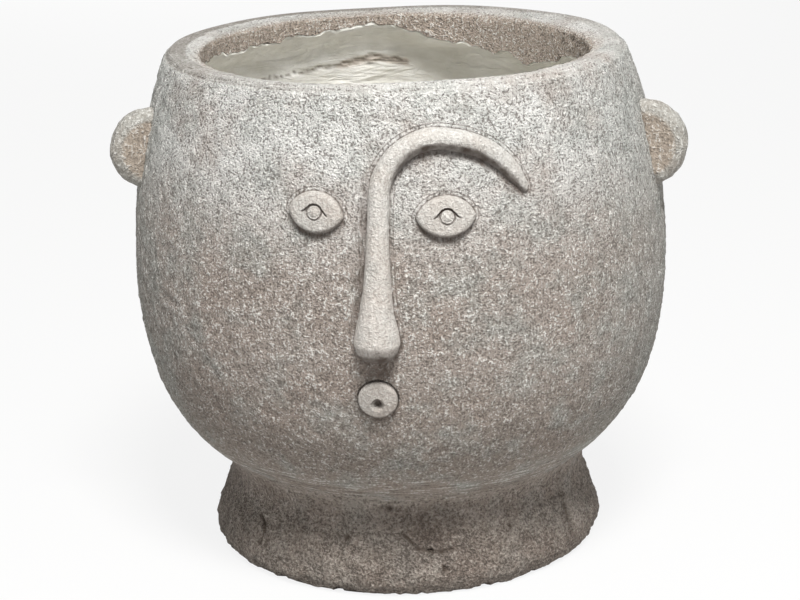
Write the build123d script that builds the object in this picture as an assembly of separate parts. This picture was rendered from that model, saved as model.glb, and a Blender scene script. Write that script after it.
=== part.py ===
from build123d import *
import os
from math import asin, cos, degrees, radians, sin, sqrt

# Head planter, in millimetres.
# A round cement bowl stands on a flared, hollow foot ring. A cove of mortar hides the joint.
# Ears, eyes, nose with brow, and mouth are modelled by hand and bedded on the bowl in slip.
# +Z is up, the foot stands on z = 0 and the face looks along -Y. The head's own left is at +X.

# Bowl, outside: three tangent arcs, called shoulder, flank and haunch
pot_height = 267.4
belly_radius = 140.0
belly_height = 152.0
rim_inset = 22.0
flank_radius = 190.0
flank_height = 100.0

# Bowl, wall, lip and floor
wall = 10.0
lip_width = 19.0
lip_depth = 12.0
lip_slope_height = 10.0
rim_outer_round = 4.0
rim_inner_round = 2.5
floor_thickness = 14.0
spigot_depth = 5.0

# Joint between the bowl and the foot ring, with a notch outside that the mortar fills
seat_height = 38.0
seat_width = 6.0
notch_depth = 9.0
skirt_rise = 16.0
spigot_clearance = 0.5
bed = 0.25

# Neck, measured in from the bowl's skirt, and the mortar cove in it
neck_inset = 6.0
neck_rise = 3.0
cove_flare = 1.2
cove_drop = 4.0

# Foot ring
foot_flare = 9.7
toe_radius = 10.0
toe_height_share = 0.89
foot_wall = 13.0
foot_bore_depth = 8.0
foot_edge_round = 1.5

# Lining
lining_thickness = 2.5
lining_setback = 1.0

# Drain hole and stopper
drain_radius = 11.5
stopper_clearance = 0.3
stopper_taper = 1.2
stopper_drop = 3.0
flange_lip = 5.5
flange_thickness = 3.0
flange_round = 1.0
knob_radius = 6.0
knob_height = 7.0
knob_round = 2.5

# The line through both eyes, from which the whole face is set out
eye_line_share = 0.782
eye_line = eye_line_share * pot_height

# Ears: thick discs, each set by hand at its own turn and height
ear_thickness = 14.0
ear_round_share = 0.42
ear_inset = 3.5
ear_left_radius = 22.3
ear_left_rise = 8.0
ear_left_angle = 80.5
ear_right_radius = 21.0
ear_right_rise = 10.5
ear_right_angle = -73.5

# Eyes: pillowed lenses, each with its own length and tilt
eye_height = 20.0
eye_proud = 4.4
eye_crown_radius = 33.0
eye_tip_round = 2.2
eye_edge_round = 1.8
eye_left_length = 29.0
eye_left_rise = -1.8
eye_left_angle = 14.0
eye_left_tilt = -1.0
eye_right_length = 27.4
eye_right_rise = 0.9
eye_right_angle = -12.0
eye_right_tilt = -8.0

# Pupils, the ring groove round them and the lid slits
pupil_radius = 2.9
pupil_proud = 0.7
pupil_crown_rise = 1.5
pupil_stem_radius = 2.0
pupil_stem_length = 1.2
ring_width = 0.8
ring_depth = 1.3
slit_length = 3.2
slit_width = 1.1
slit_depth = 0.9

# Nose and brow: one strip that follows a crook drawn on the bowl
nose_length = 76.0
nose_lean = 2.6
bridge_rise = 8.0
bridge_offset = 1.6
bend_radius = 26.4
bend_sweep = 90.0
brow_radius = 51.0
brow_sweep = 65.5
strip_width = 10.4
strip_proud = 7.0
strip_root = 4.0
tangent_share = 0.002
half_turn = 180.0

# Along the strip: share of its length, share of strip_width, share of strip_proud
strip_shares = [
    (0.0, 0.80, 0.40),
    (0.010, 1.48, 0.98),
    (0.030, 1.98, 1.48),
    (0.060, 2.16, 1.68),
    (0.095, 1.98, 1.62),
    (0.145, 1.55, 1.42),
    (0.215, 1.28, 1.22),
    (0.310, 1.06, 1.06),
    (0.430, 0.98, 0.98),
    (0.520, 1.00, 0.96),
    (0.600, 1.03, 0.95),
    (0.680, 1.00, 0.92),
    (0.770, 0.96, 0.88),
    (0.860, 0.90, 0.80),
    (0.930, 0.76, 0.66),
    (0.975, 0.52, 0.44),
    (1.0, 0.20, 0.18),
]

# Mouth: a button with a dimple, let into a shallow round seat below the nose
mouth_drop = 22.0
mouth_angle = -0.5
mouth_radius = 9.5
mouth_proud = 3.6
mouth_crown_rise = 0.9
mouth_edge_round = 1.4
mouth_seat_depth = 1.3
mouth_seat_gap = 0.7
dimple_radius = 2.8
dimple_depth = 3.2
dimple_floor_radius = 1.4
dimple_drop = 0.9

# One overrun serves all cuts
overrun = 5.0

# Sizes that follow from the ones above
rim_radius = belly_radius - rim_inset
opening_radius = rim_radius - lip_width
shoulder_rise = pot_height - belly_height
shoulder_radius = (shoulder_rise**2 + rim_inset**2) / (2 * rim_inset)
flank_angle = asin((belly_height - flank_height) / flank_radius)
lip_bottom = pot_height - lip_depth
lip_under = lip_bottom - lip_slope_height
spigot_bottom = seat_height - spigot_depth
floor_height = spigot_bottom + floor_thickness
skirt_height = seat_height + skirt_rise
cove_foot_height = seat_height - cove_drop


class Side:
    """One surface of the bowl's wall: its outside, or that moved out or in by an offset.

    The shoulder and flank swing about centres at the belly's height. The haunch leaves the
    flank without a kink, and on the inside it runs level into the floor.
    """

    def __init__(self, offset):
        shoulder_centre = Vector(belly_radius - shoulder_radius, belly_height)
        flank_centre = Vector(belly_radius - flank_radius, belly_height)
        haunch_start = belly_height - (flank_radius - wall) * sin(flank_angle)
        floor_haunch = (haunch_start - floor_height) / (1 - sin(flank_angle))
        haunch_radius = floor_haunch + wall
        along = Vector(cos(flank_angle), -sin(flank_angle))
        haunch_centre = flank_centre + along * (flank_radius - haunch_radius)
        self.shoulder = (shoulder_centre, shoulder_radius + offset)
        self.flank = (flank_centre, flank_radius + offset)
        self.haunch = (haunch_centre, haunch_radius + offset)
        self.break_height = belly_height - (flank_radius + offset) * sin(flank_angle)
        self.low = haunch_centre - Vector(0, haunch_radius + offset)

    def arc_at(self, height):
        """The centre and radius of the arc that holds this height."""
        if height >= belly_height:
            return self.shoulder
        if height >= self.break_height:
            return self.flank
        return self.haunch

    def radius_at(self, height):
        """The distance from the pot's axis at this height."""
        centre, radius = self.arc_at(height)
        return centre.X + sqrt(radius**2 - (height - centre.Y) ** 2)

    def lean_at(self, height):
        """The angle in degrees by which the surface looks up at this height."""
        centre, radius = self.arc_at(height)
        return degrees(asin((height - centre.Y) / radius))

    def point(self, height):
        """The section point at this height, or the level end of the haunch."""
        if height <= self.low.Y:
            return self.low
        return Vector(self.radius_at(height), height)

    def edges(self, low, high):
        """The arcs from one height up to another."""
        turns = [height for height in (self.break_height, belly_height) if low < height < high]
        heights = [low, *turns, high]
        arcs = []
        for start, end in zip(heights, heights[1:]):
            middle = (start + end) / 2
            arcs.append(ThreePointArc(self.point(start), self.point(middle), self.point(end)))
        return arcs


outside = Side(0)
inside = Side(-wall)
skirt_radius = outside.radius_at(skirt_height)
neck_radius = skirt_radius - neck_inset
neck_height = seat_height + neck_rise
cove_foot_radius = neck_radius + cove_flare
seat_radius = neck_radius - notch_depth
spigot_radius = seat_radius - seat_width


def turned(section):
    """A solid turned from a section drawn in the right half of the XZ plane."""
    return revolve(Plane.XZ * section, Axis.Z)


def chain(points):
    """The straight lines that join the points in order."""
    return [Line(start, end) for start, end in zip(points, points[1:])]


def crown_arc(radius, top, rise):
    """Half of a low dome about the axis, from its rim up to its top, and the rim's place."""
    ball_radius = (radius**2 + rise**2) / (2 * rise)
    places = []
    for across in (radius, radius / 2, 0):
        drop = ball_radius - sqrt(ball_radius**2 - across**2)
        places.append(Vector(across, top - drop))
    return [ThreePointArc(*places)], places[0]


def rounded_corner(section, corner, radius):
    """The section with the corner nearest the given place rounded."""
    nearest = section.vertices().sort_by_distance(corner)[0]
    return fillet(nearest, radius)


def surface_plane(turn, height, tilt=0.0):
    """A plane that lies on the bowl, with its x axis across the face and z pointing out."""
    around = radians(turn)
    lean = radians(outside.lean_at(height))
    radius = outside.radius_at(height)
    origin = (radius * sin(around), -radius * cos(around), height)
    across = (cos(around), sin(around), 0)
    out = (cos(lean) * sin(around), -cos(lean) * cos(around), sin(lean))
    return Plane(origin=origin, x_dir=across, z_dir=out).rotated((0, 0, tilt))


def bowl_core():
    """The space inside the bedding slip: what every piece of relief is cut to fit."""
    slip_face = Side(bed)
    high = pot_height - rim_outer_round
    outline = slip_face.edges(skirt_height, high)
    outline += chain([
        slip_face.point(high),
        (0, high),
        (0, skirt_height),
        slip_face.point(skirt_height),
    ])
    return turned(make_face(outline))


def bowl():
    """The bowl with its lip, floor, locating spigot, drain hole and the seat of the mouth."""
    seat_top = seat_height + bed
    outline = chain([
        inside.low,
        (drain_radius, floor_height),
        (drain_radius, spigot_bottom),
        (spigot_radius, spigot_bottom),
        (spigot_radius, seat_top),
        (seat_radius, seat_top),
        outside.point(skirt_height),
    ])
    outline += outside.edges(skirt_height, pot_height)
    outline += chain([
        (rim_radius, pot_height),
        (opening_radius, pot_height),
        (opening_radius, lip_bottom),
        inside.point(lip_under),
    ])
    outline += inside.edges(inside.low.Y, lip_under)
    section = make_face(outline)
    section = rounded_corner(section, (rim_radius, pot_height), rim_outer_round)
    section = rounded_corner(section, (opening_radius, pot_height), rim_inner_round)
    seat = extrude(Circle(mouth_radius + mouth_seat_gap), mouth_seat_depth + overrun)
    seat = mouth_plane() * Pos(0, 0, -mouth_seat_depth) * seat
    return turned(section) - seat


def lining():
    """The light waterproof coat on the wall, under the lip and on the floor."""
    front_gap = bed + lining_thickness
    back = Side(-wall - bed)
    front = Side(-wall - front_gap)
    slope_run = inside.radius_at(lip_under) - opening_radius
    start_height = lip_bottom - lining_setback * lip_slope_height / slope_run
    start = Vector(opening_radius + lining_setback, start_height)
    back_top = lip_under - bed
    front_top = lip_under - front_gap
    outline = back.edges(back.low.Y, back_top)
    outline += chain([
        back.point(back_top),
        start - Vector(bed, bed),
        start - Vector(bed, front_gap),
        front.point(front_top),
    ])
    outline += front.edges(front.low.Y, front_top)
    outline += chain([
        front.low,
        (drain_radius, front.low.Y),
        (drain_radius, back.low.Y),
        back.low,
    ])
    return turned(make_face(outline))


def foot_ring():
    """The hollow foot: a flared ring with a rounded toe, and a bore that takes the spigot."""
    foot_radius = neck_radius + foot_flare
    toe_height = toe_radius * toe_height_share
    toe_centre = Vector(foot_radius - toe_radius, toe_height)
    base_radius = toe_centre.X + sqrt(toe_radius**2 - toe_height**2)
    top = Vector(cove_foot_radius, cove_foot_height)
    away = top - toe_centre
    right_angle = half_turn / 2
    turn = right_angle - degrees(asin(toe_radius / away.length))
    touch = toe_centre + away.normalized().rotate(Axis.Z, -turn) * toe_radius
    bore_radius = spigot_radius + spigot_clearance
    bore_bottom = seat_height - foot_bore_depth
    hollow_radius = foot_radius - foot_wall
    outline = [ThreePointArc((base_radius, 0), (foot_radius, toe_height), touch)]
    outline += chain([
        touch,
        top,
        (seat_radius, seat_height),
        (bore_radius, seat_height),
        (bore_radius, bore_bottom),
        (hollow_radius, toe_height),
        (hollow_radius, 0),
        (base_radius, 0),
    ])
    section = make_face(outline)
    section = rounded_corner(section, (hollow_radius, 0), foot_edge_round)
    return turned(section)


def neck_mortar():
    """The cove of mortar, brushed smooth, that fills the notch between bowl and foot."""
    low = (cove_foot_radius, cove_foot_height)
    throat = (neck_radius, neck_height)
    high = (skirt_radius, skirt_height)
    outline = [ThreePointArc(low, throat, high)]
    outline += chain([high, (seat_radius, seat_height), low])
    section = offset(make_face(outline), -bed, kind=Kind.INTERSECTION)
    return turned(section)


def drain_plug():
    """The rubber stopper: a tapered plug, a flange that lies on the floor and a knob to pull."""
    flange_bottom = floor_height + bed + lining_thickness + bed
    flange_top = flange_bottom + flange_thickness
    flange_radius = drain_radius + flange_lip
    plug_radius = drain_radius - stopper_clearance
    tip_height = spigot_bottom - stopper_drop
    knob_top = flange_top + knob_height
    section = make_face(chain([
        (0, tip_height),
        (plug_radius - stopper_taper, tip_height),
        (plug_radius, flange_bottom),
        (flange_radius, flange_bottom),
        (flange_radius, flange_top),
        (knob_radius, flange_top),
        (knob_radius, knob_top),
        (0, knob_top),
        (0, tip_height),
    ]))
    section = rounded_corner(section, (flange_radius, flange_top), flange_round)
    section = rounded_corner(section, (knob_radius, knob_top), knob_round)
    return turned(section)


def ear(turn, rise, radius, core):
    """A thick round disc with a soft edge, cut to sit on the side of the head."""
    disc = Cylinder(radius, ear_thickness)
    disc = fillet(disc.edges().filter_by(GeomType.CIRCLE), ear_thickness * ear_round_share)
    height = eye_line + rise
    around = radians(turn)
    reach = outside.radius_at(height) - ear_inset
    out = Vector(sin(around), -cos(around), 0)
    across = (cos(around), sin(around), 0)
    stand = Plane(origin=out * reach + Vector(0, 0, height), x_dir=out, z_dir=across)
    return stand * disc - core


def lens(length):
    """The outline of an eye: two equal arcs that meet in softened tips."""
    left = (-length / 2, 0)
    right = (length / 2, 0)
    upper = ThreePointArc(left, (0, eye_height / 2), right)
    lower = ThreePointArc(right, (0, -eye_height / 2), left)
    face = make_face([upper, lower])
    return fillet(face.vertices(), eye_tip_round)


def eye_socket():
    """The tool that cuts the ring groove, the stem hole and the two lid slits of an eye."""
    groove_radius = pupil_radius + ring_width
    groove_floor = eye_proud - ring_depth
    hole_depth = pupil_stem_length + bed
    groove = extrude(Circle(groove_radius), ring_depth + overrun)
    hole = extrude(Circle(pupil_stem_radius + bed), -hole_depth)
    tool = Pos(0, 0, groove_floor) * (groove + hole)
    for side in (1, -1):
        wedge = make_face(chain([
            (side * pupil_radius, slit_width),
            (side * (groove_radius + slit_length), 0),
            (side * pupil_radius, 0),
            (side * pupil_radius, slit_width),
        ]))
        tool += Pos(0, 0, eye_proud - slit_depth) * extrude(wedge, slit_depth + overrun)
    return tool


def eye(plane, length, core):
    """A pillowed lens bedded on the bowl, with its socket cut for the pupil."""
    slab = Pos(0, 0, -overrun) * extrude(lens(length), 2 * overrun + eye_proud)
    pillow = slab & Pos(0, 0, eye_proud - eye_crown_radius) * Sphere(eye_crown_radius)
    top_face = pillow.faces().sort_by(Axis.Z)[-1]
    pillow = fillet(top_face.edges(), eye_edge_round)
    return plane * (pillow - eye_socket()) - core


def pupil(plane):
    """A domed bead on a short stem, seated on the floor of its ring groove."""
    top = eye_proud + pupil_proud
    bead_floor = eye_proud - ring_depth
    stem_end = bead_floor - pupil_stem_length
    outline, rim = crown_arc(pupil_radius, top, pupil_crown_rise)
    outline += chain([
        (0, top),
        (0, stem_end),
        (pupil_stem_radius, stem_end),
        (pupil_stem_radius, bead_floor),
        (pupil_radius, bead_floor),
        rim,
    ])
    return plane * turned(make_face(outline))


def crook():
    """The centre line of nose and brow, as sideways run and height on the unrolled bowl."""
    bridge_height = eye_line + bridge_rise
    tip = (bridge_offset - nose_lean, bridge_height - nose_length)
    nose = Line(tip, (bridge_offset, bridge_height))
    bend = JernArc(nose @ 1, nose % 1, bend_radius, -bend_sweep)
    brow = JernArc(bend @ 1, bend % 1, brow_radius, -brow_sweep)
    return Wire([nose, bend, brow])


def wrapped(place):
    """A point of the crook laid on the bowl."""
    radius = outside.radius_at(place.Y)
    around = place.X / radius
    return Vector(radius * sin(around), -radius * cos(around), place.Y)


def strip_section(line, share, width, proud):
    """One cross section of the strip: a half oval that stands on the bowl, square to the strip."""
    before = wrapped(line @ max(share - tangent_share, 0))
    after = wrapped(line @ min(share + tangent_share, 1))
    along = (after - before).normalized()
    place = line @ share
    turn = degrees(place.X / outside.radius_at(place.Y))
    out = surface_plane(turn, place.Y).z_dir
    stand = Plane(origin=wrapped(place), x_dir=out.cross(along), z_dir=along)
    half = width / 2
    oval = EllipticalCenterArc((0, 0), half, proud, arc_size=half_turn)
    root = chain([(-half, 0), (-half, -strip_root), (half, -strip_root), (half, 0)])
    return stand * make_face([oval, *root])


def nose_and_brow(core):
    """One strip from the round tip of the nose, up the bridge and over into the single brow."""
    line = crook()
    sections = []
    for share, width_share, proud_share in strip_shares:
        sections.append(strip_section(line, share, width_share * strip_width, proud_share * strip_proud))
    return loft(sections) - core


def mouth_plane():
    """The plane of the mouth, square to the bowl."""
    nose_tip_height = eye_line + bridge_rise - nose_length
    return surface_plane(mouth_angle, nose_tip_height - mouth_drop)


def mouth():
    """A pillowed round button with a dimple, standing on the flat floor of its seat."""
    back = bed - mouth_seat_depth
    outline, rim = crown_arc(mouth_radius, mouth_proud, mouth_crown_rise)
    outline += chain([(0, mouth_proud), (0, back), (mouth_radius, back), rim])
    section = rounded_corner(make_face(outline), rim, mouth_edge_round)
    dimple = Cone(dimple_floor_radius, dimple_radius, dimple_depth, align=(Align.CENTER, Align.CENTER, Align.MAX))
    collar = Cylinder(dimple_radius, overrun, align=(Align.CENTER, Align.CENTER, Align.MIN))
    tool = Pos(0, -dimple_drop, mouth_proud) * (dimple + collar)
    return mouth_plane() * (turned(section) - tool)


def planter():
    """Every piece of the planter by name."""
    core = bowl_core()
    left_eye = surface_plane(eye_left_angle, eye_line + eye_left_rise, eye_left_tilt)
    right_eye = surface_plane(eye_right_angle, eye_line + eye_right_rise, eye_right_tilt)
    return {
        "bowl": bowl(),
        "inner_lining": lining(),
        "foot_ring": foot_ring(),
        "neck_mortar": neck_mortar(),
        "drain_plug": drain_plug(),
        "ear_left": ear(ear_left_angle, ear_left_rise, ear_left_radius, core),
        "ear_right": ear(ear_right_angle, ear_right_rise, ear_right_radius, core),
        "eye_left": eye(left_eye, eye_left_length, core),
        "eye_right": eye(right_eye, eye_right_length, core),
        "pupil_left": pupil(left_eye),
        "pupil_right": pupil(right_eye),
        "nose_and_brow": nose_and_brow(core),
        "mouth": mouth(),
    }


os.makedirs("parts", exist_ok=True)
for name, piece in planter().items():
    export_step(piece, f"parts/{name}.step")
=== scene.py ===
"""The head planter, dressed: hand-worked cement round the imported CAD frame.

Every length is in metres unless its name says otherwise, and every piece stands in the frame's
own axes: +Z is up, the foot stands on z = 0 and the face looks along -Y. A turn is in degrees
from the face, positive towards the head's own left, which is +X.
"""

import logging
import math
from collections.abc import Callable, Iterable, Iterator, Sequence
from contextlib import contextmanager
from dataclasses import dataclass
from enum import Enum

import bpy
import numpy as np
from mathutils import Matrix, Vector

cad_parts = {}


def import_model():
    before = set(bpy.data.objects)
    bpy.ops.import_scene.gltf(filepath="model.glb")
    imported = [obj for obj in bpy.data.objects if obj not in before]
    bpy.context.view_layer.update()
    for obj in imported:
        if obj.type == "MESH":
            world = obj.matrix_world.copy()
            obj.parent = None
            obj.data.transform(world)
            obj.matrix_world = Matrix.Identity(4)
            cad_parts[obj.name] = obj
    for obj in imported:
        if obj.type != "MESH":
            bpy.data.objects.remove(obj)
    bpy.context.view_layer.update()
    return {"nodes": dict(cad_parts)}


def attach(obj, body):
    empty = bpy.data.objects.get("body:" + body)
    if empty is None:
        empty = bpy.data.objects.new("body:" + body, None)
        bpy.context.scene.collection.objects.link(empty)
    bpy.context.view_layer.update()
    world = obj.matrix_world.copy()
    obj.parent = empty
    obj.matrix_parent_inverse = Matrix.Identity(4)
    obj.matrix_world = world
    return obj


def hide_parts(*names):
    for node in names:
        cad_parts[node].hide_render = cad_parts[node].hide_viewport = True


LOG = logging.getLogger("planter")
MM = 0.001
TINY = 1e-6
# Points closer than this are one where a turned mesh closes.
SEAM = 0.01 * MM
# The front of a turned piece has finer faces: where it starts, from +X, and how wide it is, in degrees.
FRONT_START, FRONT = -145.0, 110.0

Piece = bpy.types.Object
Socket = bpy.types.NodeSocket
Point = tuple[float, float]
# A coat of colour: its share at each place, and its sRGB hex code.
Coat = tuple[Socket, str]
Outline = list[Point]


# Hands: small modelling helpers


def focus(piece: Piece) -> None:
    """Makes one object the only selected one, and the active one.

    Args:
        piece: The object to work on.
    """
    bpy.ops.object.select_all(action="DESELECT")
    piece.select_set(True)
    bpy.context.view_layer.objects.active = piece


@contextmanager
def editing(piece: Piece, elements: str = "VERT") -> Iterator[None]:
    """Opens an object in edit mode and closes it again.

    Args:
        piece: The mesh object to edit.
        elements: What is selected there: VERT, EDGE or FACE.

    Yields:
        Nothing; operators act on the mesh meanwhile.
    """
    focus(piece)
    bpy.ops.object.mode_set(mode="EDIT")
    bpy.ops.mesh.select_mode(type=elements)
    yield
    bpy.ops.object.mode_set(mode="OBJECT")


def outward(piece: Piece) -> None:
    """Turns every face of a closed mesh outwards.

    Args:
        piece: The mesh object.
    """
    with editing(piece):
        bpy.ops.mesh.select_all(action="SELECT")
        bpy.ops.mesh.normals_make_consistent(inside=False)


def places(piece: Piece) -> np.ndarray:
    """The vertices of a mesh object as an array of rows x, y, z.

    Args:
        piece: The mesh object.

    Returns:
        One row for each vertex.
    """
    flat = np.empty(len(piece.data.vertices) * 3)
    piece.data.vertices.foreach_get("co", flat)
    return flat.reshape(-1, 3)


def sculpt(piece: Piece, shape: Callable[[np.ndarray], np.ndarray]) -> None:
    """Shapes a mesh by a function from old places to new ones.

    Args:
        piece: The mesh object.
        shape: Gives the new rows x, y, z for the old ones.
    """
    rows = shape(places(piece))
    piece.data.vertices.foreach_set("co", rows.astype(np.float32).ravel())
    piece.data.update()


def note(piece: Piece, **layers: np.ndarray) -> None:
    """Keeps numbers for each vertex, which a material can read by their name.

    Args:
        piece: The mesh object.
        layers: One number for each vertex, under each layer's name.
    """
    for name, values in layers.items():
        layer = piece.data.attributes.new(name, "FLOAT", "POINT")
        layer.data.foreach_set("value", np.asarray(values, np.float32))


def weigh(piece: Piece, name: str, weights: np.ndarray) -> None:
    """Makes a vertex group whose weights follow an array, in steps of a twentieth.

    Args:
        piece: The mesh object.
        name: The group's name.
        weights: One weight from 0 to 1 per vertex.
    """
    steps = 20
    group = piece.vertex_groups.new(name=name)
    rounded = np.rint(np.clip(weights, 0, 1) * steps).astype(int)
    for level in range(steps + 1):
        found = np.nonzero(rounded == level)[0].tolist()
        if found:
            group.add(found, level / steps, "REPLACE")


def modified(piece: Piece, kind: str, **settings: object) -> None:
    """Adds a modifier with its settings and applies it.

    Args:
        piece: The mesh object.
        kind: The modifier's type.
        settings: The modifier's own properties.
    """
    focus(piece)
    bpy.ops.object.modifier_add(type=kind)
    modifier = piece.modifiers[-1]
    for name, value in settings.items():
        setattr(modifier, name, value)
    bpy.ops.object.modifier_apply(modifier=modifier.name)


def turned(name: str, outline: Outline, *steps: int) -> Piece:
    """Turns an outline of (radius, height) points about the Z axis.

    The outline is drawn point by point by extruding one vertex, and spun.

    Args:
        name: The object's name.
        outline: The points, in order; the first is repeated last where the outline closes.
        steps: How many faces go round the whole turn, or round the front and round the rest.

    Returns:
        The mesh object, with its faces pointing outwards.
    """
    fine = len(steps) > 1
    start = math.radians(FRONT_START) if fine else 0.0
    sweeps = (FRONT, 360.0 - FRONT) if fine else (360.0,)
    bpy.ops.mesh.primitive_plane_add(size=MM)
    piece = bpy.context.object
    piece.name = piece.data.name = name
    side = Vector((math.cos(start), math.sin(start), 0))
    points = [side * radius + Vector((0, 0, height)) for radius, height in outline]
    with editing(piece):
        bpy.ops.mesh.select_all(action="SELECT")
        bpy.ops.mesh.merge(type="CENTER")
        bpy.ops.transform.translate(value=points[0])
        for before, after in zip(points, points[1:]):
            bpy.ops.mesh.extrude_region_move(TRANSFORM_OT_translate={"value": after - before})
        bpy.ops.mesh.select_all(action="SELECT")
        for degrees, count in zip(sweeps, steps):
            bpy.ops.mesh.spin(steps=count, angle=math.radians(degrees), center=(0, 0, 0), axis=(0, 0, 1))
        bpy.ops.mesh.select_all(action="SELECT")
        bpy.ops.mesh.remove_doubles(threshold=SEAM)
    outward(piece)
    return piece


def arc(x: float, z: float, radius: float, angles: Iterable[float]) -> Outline:
    """Points of an arc about (x, z), at angles in radians."""
    return [(x + radius * math.cos(a), z + radius * math.sin(a)) for a in angles]


def straight(start: Point, end: Point, count: int) -> Outline:
    """Evenly spaced points of a straight line with its ends, all but the first."""
    return [(float(x), float(z)) for x, z in np.linspace(start, end, count)[1:]]


def ease(values: np.ndarray, low: float, high: float) -> np.ndarray:
    """A smooth step from 0 at the low value to 1 at the high one."""
    share = np.clip((values - low) / (high - low), 0, 1)
    return share * share * (3 - 2 * share)


def fade(values: np.ndarray, low: float, high: float) -> np.ndarray:
    """A smooth step from 1 at the low value to 0 at the high one."""
    return 1 - ease(values, low, high)


def turn_of(rows: np.ndarray) -> np.ndarray:
    """The turn of each place in degrees, 0 on the face."""
    return np.degrees(np.arctan2(rows[:, 0], -rows[:, 1]))


def radii_of(rows: np.ndarray) -> np.ndarray:
    """The distance of each place from the Z axis."""
    return np.hypot(rows[:, 0], rows[:, 1])


def apart(turns: np.ndarray, turn: float) -> np.ndarray:
    """The angle in radians from one turn to others, the short way round."""
    return np.radians((turns - turn + 180) % 360 - 180)


def pushed(rows: np.ndarray, moves: np.ndarray, lifts: np.ndarray | float = 0.0) -> np.ndarray:
    """Moves places away from the Z axis, and up.

    Args:
        rows: The places.
        moves: How far each moves outwards.
        lifts: How far each is lifted.

    Returns:
        The new places.
    """
    factor = 1 + moves / np.maximum(radii_of(rows), TINY)
    return np.column_stack([rows[:, 0] * factor, rows[:, 1] * factor, rows[:, 2] + lifts])


def undersides(piece: Piece) -> np.ndarray:
    """How far the surface faces down at each vertex, from -1 for up to 1 for down.

    Args:
        piece: The mesh object.

    Returns:
        One number for each vertex.
    """
    flat = np.empty(len(piece.data.vertices) * 3)
    piece.data.vertex_normals.foreach_get("vector", flat)
    return -flat.reshape(-1, 3)[:, 2]


@dataclass(frozen=True)
class Roughcast:
    """One layer of unevenness that the hand leaves in cement.

    Attributes:
        size: The width of one lump.
        rise: The whole height from the lowest place to the highest.
        depth: How many finer layers lie in it.
        hard: Whether the lumps meet in creases.
    """

    size: float
    rise: float
    depth: int = 1
    hard: bool = False


def roughen(piece: Piece, group: str, *layers: Roughcast) -> np.ndarray:
    """Presses layers of unevenness into a piece.

    Args:
        piece: The mesh object.
        group: The vertex group that says where and how much; no name means everywhere.
        layers: The layers, in order.

    Returns:
        How much further each vertex now stands from the frame's origin.
    """
    before = places(piece)
    for layer in layers:
        texture = bpy.data.textures.new(f"{piece.name} lumps", "CLOUDS")
        texture.noise_scale, texture.noise_depth = layer.size, layer.depth
        texture.noise_type = "HARD_NOISE" if layer.hard else "SOFT_NOISE"
        shared = {"texture": texture, "texture_coords": "LOCAL", "vertex_group": group}
        modified(piece, "DISPLACE", strength=layer.rise, mid_level=0.5, **shared)
        bpy.data.textures.remove(texture)
    return np.linalg.norm(places(piece), axis=1) - np.linalg.norm(before, axis=1)


# Finishes

MIX_A, MIX_B, MIX_OUT = 6, 7, 2  # the colour sockets of a Mix node, which shares their names


def linear(code: str) -> tuple[float, float, float, float]:
    """Turns an sRGB hex code into the linear colour that a shader takes.

    Args:
        code: Six hex digits.

    Returns:
        Red, green, blue and a full alpha.
    """
    parts = [int(code[i : i + 2], 16) / 255 for i in (0, 2, 4)]
    red, green, blue = (p / 12.92 if p <= 0.04045 else ((p + 0.055) / 1.055) ** 2.4 for p in parts)
    return red, green, blue, 1.0


@dataclass(frozen=True)
class Graph:
    """The nodes of one material or of the surroundings.

    Attributes:
        tree: The node tree.
    """

    tree: bpy.types.NodeTree

    @classmethod
    def fresh(cls, owner: bpy.types.Material | bpy.types.World) -> "Graph":
        """Empties the nodes of a material or world and takes its tree.

        Args:
            owner: The material or the world.

        Returns:
            The empty graph.
        """
        owner.use_nodes = True
        owner.node_tree.nodes.clear()
        return cls(owner.node_tree)

    def add(
        self, kind: str, feeds: dict[str | int, object], out: str | int = 0, **settings: object
    ) -> Socket | None:
        """Adds a node with its settings and links.

        Args:
            kind: The node's type, without the words ShaderNode.
            feeds: A value or another node's socket for each input, by its name or number.
            out: The output that is wanted, by its name or number.
            settings: The node's own properties.

        Returns:
            The output's socket, or nothing where the node ends the tree.
        """
        node = self.tree.nodes.new("ShaderNode" + kind)
        for name, value in settings.items():
            setattr(node, name, value)
        for key, value in feeds.items():
            if isinstance(value, bpy.types.NodeSocket):
                self.tree.links.new(value, node.inputs[key])
            else:
                node.inputs[key].default_value = value
        return node.outputs[out] if node.outputs else None

    def ridges(self, clouds: Socket, width: float) -> Socket:
        """Curled ridges of a width, along the lines where clouds pass their middle.

        Args:
            clouds: A noise from 0 to 1.
            width: How far from its middle a ridge reaches.

        Returns:
            1 on a ridge's crest, and 0 off it.
        """
        away = self.add("Math", {0: clouds, 1: 0.5}, operation="SUBTRACT")
        away = self.add("Math", {0: away}, operation="ABSOLUTE")
        return self.add("MapRange", {0: away, 1: 0.0, 2: width, 3: 1.0, 4: 0.0})

    def surface(
        self,
        base: str,
        coats: Sequence[Coat],
        raised: Socket,
        relief: float,
        rough: Socket | float,
        ior: float,
    ) -> None:
        """Ends the tree in a plain opaque surface with coats of colour, one over the other.

        Args:
            base: The colour under every coat.
            coats: Each coat's share at each place, and its colour.
            raised: How far each place is raised, as a share of the relief.
            relief: The height of the finest relief, which is only shaded.
            rough: The roughness.
            ior: The index of refraction.
        """
        colour: object = linear(base)
        for share, code in coats:
            feeds = {0: share, MIX_A: colour, MIX_B: linear(code)}
            colour = self.add("Mix", feeds, MIX_OUT, data_type="RGBA")
        bump = self.add("Bump", {"Height": raised, "Distance": relief, "Strength": 1.0})
        feeds = {"Base Color": colour, "Roughness": rough, "IOR": ior, "Normal": bump}
        self.add("OutputMaterial", {"Surface": self.add("BsdfPrincipled", feeds)})


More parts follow.
